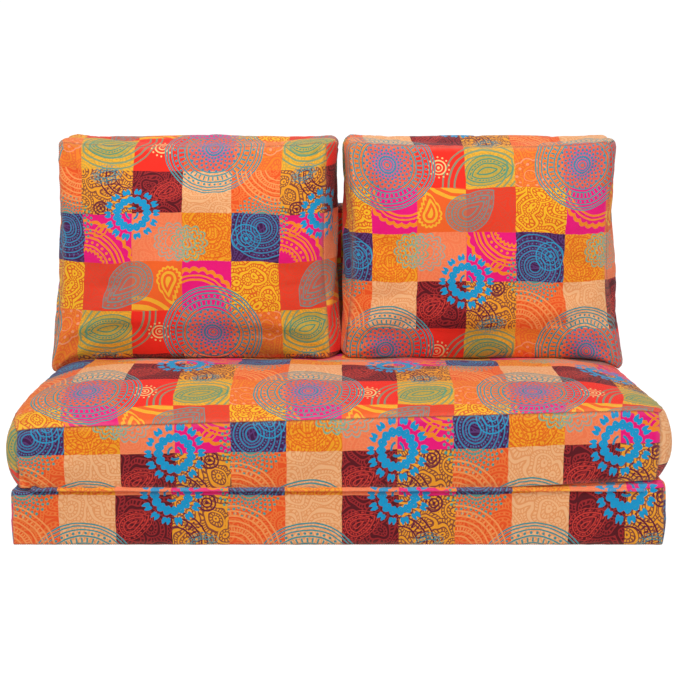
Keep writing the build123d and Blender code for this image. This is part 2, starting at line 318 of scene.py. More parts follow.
@dataclass(frozen=True)
class PrintPlace:
    """Where the printed cloth lies on a panel: the print's place at the panel's middle, and its turn."""

    u: float
    v: float
    turned: bool = False
    pitch: float = 1.0
    slant: float = 0.0

    def of(self, cut: Array) -> Array:
        """The print's coordinates, in patches, of places on the cut cloth."""
        sign = -1.0 if self.turned else 1.0
        along, up = cut[..., 0] / self.pitch, cut[..., 1] + self.slant * cut[..., 0]
        return np.stack([self.u + sign * along / TILE, self.v + sign * up / TILE], -1)


@dataclass
class Cushion:
    """One stuffed or foam-filled cover: a closed form in panels, with seams, folds and its own print places."""

    name: str
    body: str
    replaced: tuple[str, ...]
    fill: float
    seed: int
    prints: dict[Side, PrintPlace]
    grid: BoxGrid
    pressure: float = 0.0
    gathering: float = 0.05
    gather_reach: float = 0.012
    swell_cap: float = 0.010
    settling_frames: int = 20
    thread_lift: float = 0.0003
    hollow_size: float = 0.16
    hollow_depth: float = 0.0011
    pucker_depth: float = 0.0009
    pucker_reach: float = 0.03
    ditch_depth: float = 0.0011
    ditch_width: float = 0.0035
    zip_width: tuple[float, float] = (0.018, 0.036)  # off the zip's middle: flat to the first, free from the second on
    zip_length: tuple[float, float] = (0.23, 0.26)

    def shape(self) -> tuple[Array, Array, Array]:
        """The places of the grid's points."""
        raise NotImplementedError

    def relief(self) -> Array:
        """Height of the cloth's fine relief: hollows, puckers and the seams' ditch."""
        return self.hollows() + self.puckers() + self.ditch()

    def hollows(self) -> Array:
        """Uneven hollows over the cut cloth, none at the seams."""
        grid = self.grid
        x = grid.a * grid.half_width + (1 - grid.w) * grid.thickness * 0.7
        y = grid.b * grid.half_height - (1 - grid.w) * grid.thickness
        return self.hollow_depth * ripple(x, y, self.hollow_size, self.seed) * smooth(grid.seam_distance(), 0.0, 0.05)

    def puckers(self) -> Array:
        """Small gathers that run into the seams from both sides."""
        grid = self.grid
        x, y = grid.a * grid.half_width, grid.b * grid.half_height
        near_side = grid.half_width - np.abs(x) < grid.half_height - np.abs(y)
        along = np.where(near_side, y, x)
        gathers = ripple(along, along * 0.2 + grid.w * 0.01, 0.026, self.seed + 7)
        distance = grid.seam_distance()
        fade = np.exp(-distance / self.pucker_reach) * smooth(distance, 0.0, 0.005)
        return self.pucker_depth * gathers * fade

    def ditch(self) -> Array:
        """How far the cloth is drawn in at its seams."""
        return -self.ditch_depth * np.exp(-((self.grid.seam_distance() / self.ditch_width) ** 2))

    def build(self) -> bpy.types.Object:
        """Make the mesh, with its print coordinates and its distance from the seams.

        Returns:
            The finished object.
        """
        points, faces = np.stack(self.shape(), -1).tolist(), self.grid.faces.tolist()
        cut = self.grid.cut_places()
        coords = np.zeros_like(cut)
        for side in Side:
            chosen = self.grid.sides == side.value
            coords[chosen] = self.prints.get(side, self.prints[Side.MAIN]).of(cut[chosen])
        return cloth_piece(self.name, points, faces, coords, self.grid.seam_distance())

    def held(self) -> Array:
        """How firmly each point stays where it is while the cover is stuffed, from 0 to 1."""
        return np.ones(len(self.grid.a))

    def stuff(self, cushion: bpy.types.Object) -> None:
        """Press the stuffing against the cover from inside, with seams sewn a little short, and keep the result.

        Args:
            cushion: The object, whose mesh is changed.
        """
        if self.pressure <= 0:
            return
        mesh = cushion.data
        rest = np.empty(len(mesh.vertices) * 3, np.float32)
        mesh.vertices.foreach_get("co", rest)
        rest = rest.reshape(-1, 3)
        hold = self.held()
        gathers = np.exp(-self.grid.seam_distance() / self.gather_reach)
        for name, weights in (("held", hold), ("gathered", gathers)):
            group = cushion.vertex_groups.new(name=name)
            for index in np.nonzero(weights > 0.02)[0].tolist():
                group.add([index], float(min(weights[index], 1.0)), "REPLACE")
        modifier = cushion.modifiers.new("stuffing", "CLOTH")
        settings = modifier.settings
        settings.quality = 6
        settings.mass = 0.25
        settings.tension_stiffness = settings.compression_stiffness = 12.0
        settings.shear_stiffness = 6.0
        settings.bending_stiffness = 0.25
        settings.use_pressure = True
        settings.uniform_pressure_force = self.pressure
        settings.vertex_group_mass = "held"
        settings.pin_stiffness = 1.0
        settings.vertex_group_shrink = "gathered"
        settings.shrink_min, settings.shrink_max = 0.0, self.gathering
        settings.effector_weights.gravity = 0.0
        modifier.collision_settings.use_collision = False
        modifier.collision_settings.use_self_collision = False
        scene = bpy.context.scene
        for frame in range(1, self.settling_frames + 1):
            scene.frame_set(frame)
        evaluated = cushion.evaluated_get(bpy.context.evaluated_depsgraph_get())
        moved = np.empty(len(mesh.vertices) * 3, np.float32)
        evaluated.data.vertices.foreach_get("co", moved)
        step = (moved.reshape(-1, 3) - rest) * (1 - hold)[:, None]
        length = np.linalg.norm(step, axis=1, keepdims=True)
        step *= np.minimum(1.0, self.swell_cap / np.maximum(length, 1e-9))
        cushion.modifiers.remove(modifier)
        cushion.vertex_groups.clear()
        scene.frame_set(1)
        mesh.vertices.foreach_set("co", (rest + step).astype(np.float32).reshape(-1))
        mesh.update()
        LOG.info("%s: stuffed, largest move %.1f mm", self.name, float(length.max()) * 1000)

    def seam_loops(self, cushion: bpy.types.Object) -> list[list[Vector]]:
        """The lines of the front and back seams on the finished cover."""
        points = cushion.data.vertices
        seams = [self.grid.path(level) for level in (1.0, 0.0)]
        return [[points[i].co + points[i].normal * self.thread_lift for i in seam] for seam in seams]

    def dress(self, cloth: bpy.types.Material) -> bpy.types.Object:
        """Build the cushion, give it its cloth, and set it in the frame.

        Args:
            cloth: The cover's material.

        Returns:
            The finished object.
        """
        cushion = self.build()
        self.stuff(cushion)
        cushion.data.materials.append(cloth)
        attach(cushion, self.body)
        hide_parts(*self.replaced)
        LOG.info("%s: %d faces", self.name, len(cushion.data.polygons))
        return cushion


def rounded_box(x: Array, y: Array, z: Array, half: tuple[float, float, float], radius: Array) -> tuple[Array, Array]:
    """Round the edges and corners of points on a box round the origin.

    Args:
        x: Places along the first half size.
        y: Places along the second.
        z: Places along the third.
        half: The box's half sizes.
        radius: The edges' radius at each point.

    Returns:
        The rounded places and the way out of the surface there.
    """
    sharp = np.stack([x, y, z], -1)
    radius = radius[:, None]
    limit = np.array(half) - radius
    core = np.clip(sharp, -limit, limit)
    reach = sharp - core
    away = reach / np.maximum(np.linalg.norm(reach, axis=-1, keepdims=True), 1e-9)
    return core + radius * away, away


@dataclass
class FoamSlab(Cushion):
    """A flat foam section in a boxed cover."""

    centre: tuple[float, float, float] = (0.0, 0.0, 0.0)
    standing: bool = False
    edge_radius: float = 0.010
    low_radius: float = 0.010
    free_bulge: float = 0.003

    def facing(self, away: Array) -> Array:
        """1 where the cloth faces along an axis, 0 where it has turned off it."""
        return smooth(np.abs(away), 0.6, 1.0)

    def shape(self) -> tuple[Array, Array, Array]:
        """Rounded slab with slightly swollen free edges and a flat strip round the zip."""
        grid = self.grid
        half = (grid.half_width, grid.half_height, grid.thickness / 2)
        x, y, z = grid.a * half[0], grid.b * half[1], (grid.w * 2 - 1) * half[2]
        radius = np.where(grid.w < 0.5, self.low_radius, self.edge_radius)
        place, away = rounded_box(x, y, z, half, radius)
        height = self.relief()
        swell = self.free_bulge * np.clip(1 - (z / half[2]) ** 2, 0, 1)
        boxing = self.facing(np.maximum(np.abs(away[:, 0]), np.abs(away[:, 1])))
        height += swell * boxing * (1 + 0.5 * ripple(x, y, 0.3, self.seed + 3))
        height = np.where(height > 0, height * (1 - self.facing(away[:, 2])), height)
        right_end = (place[:, 0] > 0) * self.facing(away[:, 0])
        zip_zone = right_end * within(z, *self.zip_width) * within(y, *self.zip_length)
        height = height * (1 - zip_zone) - ZIP_RECESS * zip_zone
        place = place + away * height[:, None]
        if self.standing:
            place = np.stack([place[:, 0], -place[:, 2], place[:, 1]], -1)
        place = place + np.array(self.centre)
        if not self.standing:
            place[:, 2] += corner_lift(place[:, 0], place[:, 1]) * smooth(place[:, 2], 0.02, SLAB)
        return place[:, 0], place[:, 1], np.maximum(place[:, 2], 0.0)


@dataclass
class CrownedSeat(Cushion):
    """The thick seat section: straight boxing below, a crowned top, and ends that swell and sink."""

    boxing: float = SEAT_BOXING
    crown_run: float = 0.270
    roundness: float = 2.4
    rear_radius: float = 0.050
    straight_x: float = 0.500
    taper: float = 0.122
    end_sink: float = 0.058
    end_lift: float = 0.028
    edge_x: float = 0.582
    edge_bow: float = 0.034
    left_out: float = 0.031
    right_out: float = 0.037
    end_out: float = 0.006
    front_bulge: float = 0.005
    seam_rise: float = 0.0077
    seam_slope: float = 0.030
    pressed_up: float = 0.016
    pressed_run: float = 0.065
    pressed_width: tuple[float, float] = (0.45, 0.58)
    rear_gap: float = 0.0038
    rear_bulge: float = 0.004
    hollow_size: float = 0.15
    hollow_depth: float = 0.0022
    pucker_depth: float = 0.0018
    ditch_depth: float = 0.0022
    zip_width: tuple[float, float] = (0.016, 0.040)
    zip_length: tuple[float, float] = (0.70, 0.95)  # in shares of the section's half length

    def ahead(self, y: Array) -> Array:
        """1 at the front seam, 0 where the crown is at its full height."""
        run = np.clip((y - FRONT_Y) / self.crown_run, 0, 1)
        return (1 - run) ** self.roundness

    def crown(self, y: Array) -> Array:
        """Height of the crown above the front seam, from 0 to 1, at a place from front to rear."""
        rise = SEAT_TOP - SEAT_LOW - self.boxing
        back = np.clip(y - (REAR_Y - self.rear_radius), 0, self.rear_radius * 0.999)
        rear = np.sqrt(self.rear_radius**2 - back**2) - self.rear_radius
        return 1 - self.ahead(y) + rear / rise

    def tilt(self, x: Array, y: Array) -> Array:
        """How the front seam slopes up to the right, and how the top swells ahead of the pillows."""
        ahead = self.ahead(y)
        behind = np.exp(-((np.maximum(y - FRONT_Y - self.crown_run, 0) / self.pressed_run) ** 2))
        swell = self.pressed_up * (1 - ahead) * behind * within(x, *self.pressed_width)
        return (self.seam_rise + self.seam_slope * x) * ahead + swell

    def top(self, x: Array, y: Array) -> Array:
        """Height of the seat's top at a place of its plan, which the pillows rest on."""
        sink = rounding((np.abs(x) - self.straight_x) / self.taper, 2.5) * self.end_sink
        rise = SEAT_TOP - SEAT_LOW - self.boxing
        seam = SEAT_LOW + self.boxing - sink * 0.5
        return seam + self.crown(y) * np.maximum(rise - sink * 0.5, 0.003) + self.tilt(x, y)

    def shape(self) -> tuple[Array, Array, Array]:
        """Swollen boxing, pinched seams and a crowned top with the photograph's uneven sag."""
        grid = self.grid
        bow = 1 - np.abs(grid.b) ** 5
        edge = self.edge_x + self.edge_bow * bow
        flat_x = grid.a * edge
        y = FRONT_Y + (grid.b + 1) / 2 * (SECTION - self.rear_gap)
        along = (np.abs(flat_x) - self.straight_x) / self.taper
        draw = rounding(along, 5.0) * self.end_lift
        y = y + draw * np.clip(-grid.b * 1.6, -1, 1) * smooth(np.abs(grid.b), 0.2, 1.0)
        top = self.top(flat_x, y)
        low = SEAT_LOW + draw + corner_lift(flat_x, y)
        z = low + (top - low) * grid.w
        belly = 1 - np.abs(2 * grid.w - 1) ** 2.4
        on_boxing = (grid.w > 0) & (grid.w < 1)
        at_end = on_boxing & (np.abs(grid.a) >= 1)
        at_front = on_boxing & (grid.b <= -1)
        at_rear = on_boxing & (grid.b >= 1)
        corner_out = np.where(grid.a > 0, self.right_out, self.left_out)
        end_out = (corner_out * (1 - bow) + self.end_out * bow) * belly
        pinched = np.where(at_end, 0.15 + 0.85 * (1 - np.abs(grid.b) ** 16), 0.15)
        widen = np.where(on_boxing, smooth(np.abs(grid.a), 0.86, 1.0) * pinched, 0.0)
        x = flat_x + np.sign(grid.a) * end_out * widen
        corner = np.clip(1 - np.abs(grid.a) ** 24, 0, 1)
        lumps = 1 + 0.35 * ripple(flat_x, z, 0.34, self.seed + 2)
        y = y - np.where(at_front, self.front_bulge * belly * corner * lumps, 0.0)
        y = y + np.where(at_rear, self.rear_bulge * belly * corner, 0.0)
        height = self.relief()
        out_x, out_y = np.where(at_end, np.sign(grid.a), 0), np.where(at_rear, 1, 0) - np.where(at_front, 1, 0)
        up = np.where(on_boxing, 0.0, np.where(grid.w >= 1, 1.0, -1.0))
        height = np.where((up < 0) & (height > 0), 0.0, height)
        right_end = np.where(at_end & (grid.a > 0), 1.0, 0.0)
        zipped = right_end * within(z - self.zip_mid(), *self.zip_width) * within(grid.b, *self.zip_length)
        x = (x + out_x * height) * (1 - zipped) + (SEAT_END - ZIP_RECESS) * zipped
        y = y + out_y * height
        z = z + up * height
        tuck = self.tuck(x, z) * np.where(at_front, 1.0, 0.0)
        return x, y + tuck, z

    def zip_mid(self) -> float:
        """Height of the zip's middle line."""
        low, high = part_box("seat_zip")
        return (low.z + high.z) / 2

    def tuck(self, x: Array, z: Array) -> Array:
        """The diagonal tuck in the lower left corner of the front, with a low ridge along it."""
        start, end = np.array([-0.592, 0.148]), np.array([-0.556, 0.112])
        way = end - start
        share = np.clip(((x - start[0]) * way[0] + (z - start[1]) * way[1]) / (way @ way), 0, 1)
        gap = np.hypot(x - start[0] - share * way[0], z - start[1] - share * way[1])
        depth, width, ridge, ridge_gap, ridge_width = 0.007, 0.005, 0.003, 0.013, 0.007
        return depth * np.exp(-((gap / width) ** 2)) - ridge * np.exp(-(((gap - ridge_gap) / ridge_width) ** 2))


@dataclass
class BoxPillow(Cushion):
    """A loose box pillow that leans on the backrest and settles into the seat."""

    seat: CrownedSeat | None = None
    centre_x: float = 0.0
    top_radius: float = 0.024
    low_radius: float = 0.016
    side_draw: float = 0.012
    top_draw: float = 0.005
    front_crown: float = 0.040
    crown_inset: float = 0.150
    rear_crown: float = 0.035
    bevel_inset: float = 0.045
    bevel_slope: float = 1.4
    left_inset: float = 0.009
    right_inset: float = 0.022
    left_out: float = 0.0
    right_out: float = 0.0
    flare: float = 0.010
    flare_height: float = 0.15
    ear: float = 0.006
    ear_reach: float = 0.05
    boxing_bulge: float = 0.003
    settle_height: float = 0.13
    hollow_size: float = 0.17
    hollow_depth: float = 0.0055
    pucker_depth: float = 0.0032
    pucker_reach: float = 0.045
    ditch_depth: float = 0.002
    fold_height: float = 0.0042
    fold_reach: float = 0.10
    zip_start: tuple[float, float] = (0.003, 0.012)  # from the seam to the zip's strip
    zip_width: tuple[float, float] = (0.033, 0.042)
    zip_length: tuple[float, float] = (0.204, 0.225)

    def outline(self) -> tuple[Array, Array]:
        """The grid's points in the pillow's own leaning plane, corners rounded and sides drawn in."""
        grid = self.grid
        u, v = grid.a * grid.half_width, grid.b * grid.half_height
        radius = np.where(v > 0, self.top_radius, self.low_radius)
        core_u = np.clip(u, -(grid.half_width - radius), grid.half_width - radius)
        core_v = np.clip(v, -(grid.half_height - radius), grid.half_height - radius)
        reach_u, reach_v = u - core_u, v - core_v
        length = np.maximum(np.hypot(reach_u, reach_v), 1e-9)
        size = np.maximum(np.abs(reach_u), np.abs(reach_v))
        u, v = core_u + reach_u / length * size, core_v + reach_v / length * size
        u = u * (1 - self.side_draw / grid.half_width * (1 - grid.b**2))
        v = v - self.top_draw * (1 - grid.a**2) * smooth(v, 0.0, grid.half_height)
        return u, v + grid.half_height

    def plan(self) -> tuple[Array, Array]:
        """The outline, drawn in at both panels, swollen at the sides, flared at the foot and with ears at the top."""
        grid = self.grid
        u, v = self.outline()
        w = grid.w
        past = np.clip((w - 0.68) / 0.32, 0, 1) ** 1.5
        before = np.clip((0.4 - w) / 0.4, 0, 1) ** 1.6
        inset = np.where(grid.a > 0, self.right_inset, self.left_inset) * past + 0.006 * before
        wide = grid.half_width
        u = u * (1 - inset / wide * smooth(np.abs(u), wide * 0.3, wide))
        v = v - (0.008 * past + 0.004 * before) * smooth(v, 0.3, 0.48)
        u = u + np.where(u > 0, self.right_out, -self.left_out) * smooth(np.abs(u), wide * 0.3, wide)
        outer = np.clip(u * np.sign(self.centre_x) / wide, 0, 1)
        u = u + np.sign(self.centre_x) * self.flare * outer**4 * (1 - smooth(v, 0.0, self.flare_height))
        corner_x, corner_y = wide * (1 - np.abs(grid.a)), grid.half_height * (1 - grid.b)
        return u, v + self.ear * np.exp(-(np.hypot(corner_x, corner_y) / self.ear_reach) ** 2)

    def shape(self) -> tuple[Array, Array, Array]:
        """Round front crown, bevelled rear, soft boxing and folds that run out of the corners."""
        grid, w = self.grid, self.grid.w
        u, v = self.plan()
        to_side = np.clip(grid.half_width * (1 - np.abs(grid.a)), 0, None)
        to_end = np.clip(grid.half_height * (1 - np.abs(grid.b)), 0, None)
        belly = 1 + 0.12 * smooth(-grid.b, -0.2, 0.6)
        crown = self.front_crown * self.arch(to_side) * self.arch(to_end) * belly
        bevel = self.rear_crown * np.clip(np.minimum(to_side, to_end) / self.bevel_inset, 0, 1)
        depth = np.where(w >= 1, grid.thickness + crown, np.where(w <= 0, -bevel, w * grid.thickness))
        height = self.relief() + self.corner_folds()
        back = w <= 0
        height = np.where(back, np.where(height > 0, 0.0, height) * smooth(to_end, 0.05, 0.10), height)
        depth = depth + np.where(w >= 1, height, np.where(back, -height, 0.0))
        zip_zone = smooth(to_end, *self.zip_start) * within(to_end, *self.zip_width) * within(u, *self.zip_length)
        depth = depth + np.where(back & (grid.b < 0), self.bevel_slope * ZIP_RECESS * zip_zone, 0.0)
        on_boxing = (w > 0) & (w < 1)
        bulge = np.where(on_boxing, self.boxing_bulge * np.sin(math.pi * w) + 0.6 * height, 0.0)
        u = u + np.where(on_boxing & (np.abs(grid.a) >= 1), np.sign(grid.a) * bulge, 0.0)
        v = v + np.where(on_boxing & (grid.b >= 1), bulge, 0.0)
        x = self.centre_x + u
        y = self.rear_seam_y() - depth + v * math.sin(PILLOW_LEAN)
        z = self.low_z() + v * math.cos(PILLOW_LEAN)
        settle = (1 - smooth(v, 0.0, self.settle_height)) * smooth(w, 0.0, 0.35)
        rest = self.seat.top(x, y) + 0.0006
        z = z + settle * np.clip(rest - self.low_z(), -0.03, 0.02)
        return x, y, z

    def arch(self, distance: Array) -> Array:
        """Rise of the round front from 0 at a seam to 1 where the crown is full."""
        return np.sqrt(np.clip(1 - (1 - np.clip(distance / self.crown_inset, 0, 1)) ** 2, 0, 1))

    def held(self) -> Array:
        """The foot and the rear panel stay, so that the pillow keeps its rest and its zip."""
        grid = self.grid
        foot = 1 - smooth((grid.b + 1) * grid.half_height, 0.015, 0.09)
        rear = 1 - smooth(grid.w, 0.0, 0.35)
        return np.clip(np.maximum(foot, rear), 0, 1)

    def rear_seam_y(self) -> float:
        """Where the rear seam's plane meets the pillow's foot."""
        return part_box(self.replaced[2])[1].y - 2 * self.grid.half_height * math.sin(PILLOW_LEAN)

    def low_z(self) -> float:
        """Height of the pillow's foot."""
        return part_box(self.replaced[2])[0].z

    def corner_folds(self) -> Array:
        """Soft folds that fan out of the four corners."""
        grid = self.grid
        x, y = grid.half_width * (1 - np.abs(grid.a)), grid.half_height * (1 - np.abs(grid.b))
        distance, angle = np.hypot(x, y), np.arctan2(y, x)
        quarter = (grid.a > 0) * 1.0 + (grid.b > 0) * 2.0
        pleats = np.cos(angle * 9 + quarter * 1.7 + self.seed) + 0.5 * np.cos(angle * 17 + quarter * 2.9)
        return self.fold_height * pleats * np.exp(-((distance / self.fold_reach) ** 2)) * smooth(distance, 0.004, 0.045)


class Graph:
    """Adds nodes to one node tree and joins them."""

    def __init__(self, tree: bpy.types.NodeTree) -> None:
        """Keep the tree."""
        self.tree = tree
        self.count = 0

    def node(self, kind: str, **settings: object) -> bpy.types.Node:
        """Add a node.

        Args:
            kind: The node's type name.
            settings: Its properties.

        Returns:
            The node.
        """
        made = self.tree.nodes.new(kind)
        made.location = (self.count % 24 * 180, -(self.count // 24) * 220)
        self.count += 1
        for key, value in settings.items():
            setattr(made, key, value)
        return made

    def feed(self, socket: Socket, value: object) -> None:
        """Give an input a value or another node's output; None leaves it as it is."""
        if isinstance(value, Output):
            value = value.socket
        if isinstance(value, Socket):
            self.tree.links.new(value, socket)
        elif value is not None:
            socket.default_value = value

    def feeds(self, node: bpy.types.Node, **values: object) -> None:
        """Give a node's inputs their values by name, blanks written as underscores."""
        for key, value in values.items():
            self.feed(node.inputs[key.replace("_", " ")], value)

    def result(self, kind: str, *values: object, **settings: object) -> Output:
        """The first output of a new node whose first inputs get the given values."""
        made = self.node(kind, **settings)
        for socket, value in zip(made.inputs, values):
            self.feed(socket, value)
        return Output(self, made.outputs[0])

    def math(self, operation: str, *values: Value, clamp: bool = False) -> Output:
        """The result of a sum on one to three numbers."""
        return self.result("ShaderNodeMath", *values, operation=operation, use_clamp=clamp)

    def vectors(self, operation: str, *values: object) -> Output:
        """The result of a sum on one to three vectors."""
        return self.result("ShaderNodeVectorMath", *values, operation=operation)

    def mix(self, share: Value, first: object, second: object, blend: str = "MIX") -> Output:
        """One colour laid over another."""
        made = self.node("ShaderNodeMix", data_type="RGBA", blend_type=blend)
        self.feed(made.inputs["Factor"], share)
        self.feed(made.inputs[6], first)
        self.feed(made.inputs[7], second)
        return Output(self, made.outputs[2])

    def vector(self, x: Value, y: Value, z: Value = 0.0) -> Output:
        """Three numbers as one vector."""
        return self.result("ShaderNodeCombineXYZ", x, y, z)

    def parts(self, vector: object) -> list[Output]:
        """A vector's three numbers."""
        made = self.node("ShaderNodeSeparateXYZ")
        self.feed(made.inputs[0], vector)
        return [Output(self, socket) for socket in made.outputs]

    def place(self) -> Socket:
        """The place of what is shaded, in metres, in the object's own frame."""
        return self.node("ShaderNodeTexCoord").outputs["Object"]

    def noise(
        self, place: object, scale: float, detail: float | None = None, flat: bool = True
    ) -> tuple[Output, Socket]:
        """Soft random light and dark, over the cloth or through space.

        Args:
            place: Where it is looked up.
            scale: Spots in a unit.
            detail: How much finer noise is added.
            flat: Whether it only changes over the cloth.

        Returns:
            It as a number and as a colour.
        """
        made = self.node("ShaderNodeTexNoise", noise_dimensions="2D" if flat else "3D")
        self.feeds(made, Vector=place, Scale=scale, Detail=detail)
        return Output(self, made.outputs[0]), made.outputs["Color"]

    def bump(self, height: object, strength: float, distance: float, normal: Output | None = None) -> Output:
        """A normal that a height in metres has tilted.

        Args:
            height: The height, in shares of the distance.
            strength: How much it counts.
            distance: The distance.
            normal: The normal before, or none for the surface's own.

        Returns:
            The normal.
        """
        made = self.node("ShaderNodeBump")
        self.feeds(made, Strength=strength, Distance=distance, Height=height, Normal=normal)
        return Output(self, made.outputs[0])

    def steps(self, value: Value, colours: list[tuple[float, tuple]], smoothly: bool = False) -> Output:
        """Colours that change at given values.

        Args:
            value: What chooses the colour.
            colours: From where each colour holds, and the colour.
            smoothly: Whether they run into each other.

        Returns:
            The colour.
        """
        made = self.node("ShaderNodeValToRGB")
        ramp = made.color_ramp
        ramp.interpolation = "LINEAR" if smoothly else "CONSTANT"
        ramp.elements[0].position, ramp.elements[0].color = colours[0]
        ramp.elements[1].position, ramp.elements[1].color = colours[1]
        for position, colour in colours[2:]:
            ramp.elements.new(position).color = colour
        self.feed(made.inputs[0], value)
        return Output(self, made.outputs[0])

    def use(self, group: bpy.types.NodeTree, **inputs: object) -> dict[str, Output]:
        """Place a node group.

        Args:
            group: The group.
            inputs: Its inputs by name.

        Returns:
            Its outputs by name.
        """
        made = self.node("ShaderNodeGroup", node_tree=group)
        self.feeds(made, **inputs)
        return {socket.name: Output(self, socket) for socket in made.outputs}


@dataclass(frozen=True)
class Output:
    """What a socket puts out, with Python's own signs for sums on it."""

    graph: Graph
    socket: Socket

    def math(self, operation: str, *values: Value, clamp: bool = False) -> Output:
        """The result of a sum that starts with this number."""
        return self.graph.math(operation, self, *values, clamp=clamp)

    def scaled(self, share: Value, plus: Value) -> Output:
        """This number times one value, plus another."""
        return self.math("MULTIPLY_ADD", share, plus)

    def __add__(self, other: Value) -> Output:
        """The sum."""
        return self.math("ADD", other)

    def __sub__(self, other: Value) -> Output:
        """The difference."""
        return self.math("SUBTRACT", other)

    def __mul__(self, other: Value) -> Output:
        """The product."""
        return self.math("MULTIPLY", other)

    def __truediv__(self, other: Value) -> Output:
        """The quotient."""
        return self.math("DIVIDE", other)

    def __lt__(self, other: Value) -> Output:
        """1 where this is less."""
        return self.math("LESS_THAN", other)

    def __gt__(self, other: Value) -> Output:
        """1 where this is more."""
        return self.math("GREATER_THAN", other)

    def __abs__(self) -> Output:
        """The number without its sign."""
        return self.math("ABSOLUTE")


Value = float | Socket | Output


def new_group(
    name: str, inputs: dict[str, object], outputs: dict[str, str]
) -> tuple[Graph, dict[str, Output], bpy.types.Node]:
    """Start a shader node group.

    Args:
        name: The group's name.
        inputs: Names and default values of its inputs; None stands for a vector.
        outputs: Names and socket types of its outputs.

    Returns:
        The graph, the inputs by name, and the output node.
    """
    tree = bpy.data.node_groups.new(name, "ShaderNodeTree")
    for key, value in inputs.items():
        kind = NORMAL if value is None else FLOAT
        socket = tree.interface.new_socket(key, in_out="INPUT", socket_type=kind)
        if value is not None:
            socket.default_value = value
    for key, kind in outputs.items():
        tree.interface.new_socket(key, in_out="OUTPUT", socket_type=kind)
    graph = Graph(tree)
    source = graph.node("NodeGroupInput")
    found = {socket.name: Output(graph, socket) for socket in source.outputs if socket.name}
    return graph, found, graph.node("NodeGroupOutput")


@dataclass(frozen=True)
class Motif:
    """A round, leaf-shaped or drop-shaped ornament of rings, dots, rays and scallops, in shares of its radius.

    `leaf` points both ends, or one end of a drop, and `bend` curls them; `gaps` cuts the ornament into clusters.
    """

    name: str
    centre: tuple[float, float]
    radius: float
    count: int = 16
    rings: tuple[tuple[float, float], ...] = ()
    dots: tuple[float, ...] = ()
    dot_size: float = 0.04
    rays: tuple[tuple[float, float], ...] = ()
    scallops: tuple[tuple[float, float, float], ...] = ()
    lattice: tuple[float, float, float] | None = None
    turn: float = 0.0
    leaf: float = 0.0
    bend: float = 0.0
    drop: bool = False
    gaps: int = 0
    patches: tuple[int, ...] = ()

    def bands(self, graph: Graph, reach: Output, bands: tuple[tuple[float, float], ...]) -> Output:
        """A mask that is 1 inside the given bands of the radius."""
        colours = [(0.0, WHITE if bands[0][0] <= 0 else BLACK)]
        for start, end in bands:
            if start > 0:
                colours.append((start, WHITE))
            colours.append((end, BLACK))
        return graph.steps(reach, colours)

    def group(self) -> bpy.types.NodeTree:
        """Build the ornament's node group.

        Returns:
            The group, with the print's coordinates and the patch's number in, and the drawn lines out.
        """
        graph, inputs, end = new_group(f"ornament_{self.name}", {"Cloth": None, "Patch": 0.0}, {"Lines": FLOAT})
        half_repeat = REPEAT / 2
        places = zip(graph.parts(inputs["Cloth"]), self.centre)
        dx, dy = [(place - at).math("WRAP", half_repeat, -half_repeat) for place, at in places]
        if self.turn:
            c, s = math.cos(self.turn), math.sin(self.turn)
            dx, dy = dx * c + dy * s, dy * c - dx * s
        half: Value = (dx > 0.0) * self.leaf if self.drop else self.leaf
        if self.bend:
            ahead = dx.math("MAXIMUM", 0.0) if self.drop else dx
            dy = (ahead * ahead).scaled(self.bend, dy)
        side = abs(dy) + half
        reach = ((dx * dx + side * side).math("SQRT") - half) / self.radius
        angle = dy.math("ARCTAN2", dx)
        turns = angle * (self.count / (2 * math.pi))
        marks = []
        if self.rings:
            marks.append(self.bands(graph, reach, self.rings))
        if self.dots or self.lattice:
            marks.append(self.dotted(reach, turns))
        if self.rays:
            spokes = (turns + WHOLE_TURNS).math("FRACT") < RAY_SHARE
            marks.append(spokes * self.bands(graph, reach, self.rays))
        for at, depth, width in self.scallops:
            edge = abs((angle * (self.count / 2)).math("SINE")).scaled(depth, at)
            marks.append(abs(reach - edge) < width)
        lines = marks[0]
        for mark in marks[1:]:
            lines = lines.math("MAXIMUM", mark)
        if self.gaps:
            lines = lines * ((angle * float(self.gaps)).math("COSINE") > GAP_EDGE)
        if self.patches:
            on_patches = [inputs["Patch"].math("COMPARE", float(patch), 0.5) for patch in self.patches]
            inside = on_patches[0]
            for other in on_patches[1:]:
                inside = inside.math("MAXIMUM", other)
            lines = lines * inside
        graph.feed(end.inputs["Lines"], lines)
        return graph.tree

    def dotted(self, reach: Output, turns: Output) -> Output:
        """Rings of round dots, or a round lattice of them.

        Args:
            reach: Distance from the middle, in shares of the radius.
            turns: The angle in dots.

        Returns:
            A mask that is 1 on the dots.
        """
        placed = turns + WHOLE_TURNS
        if self.lattice:
            pitch, first, last = self.lattice
            row = reach / pitch
            away = (row.math("FRACT") - 0.5) * pitch
            placed = placed + row.math("FLOOR") * 0.5
        else:
            away = reach - self.dots[0]
            for at in self.dots[1:]:
                other = reach - at
                away = away + (other - away) * (abs(other) < abs(away))
        across = (placed.math("FRACT") - 0.5) * (2 * math.pi / self.count) * reach
        spot = (away * away + across * across) < self.dot_size**2
        return spot * ((reach > first) * (reach < last)) if self.lattice else spot


def fine(*places: float, half: float = 0.015) -> tuple[tuple[float, float], ...]:
    """Fine rings at the given shares of an ornament's radius."""
    return tuple((place - half, place + half) for place in places)


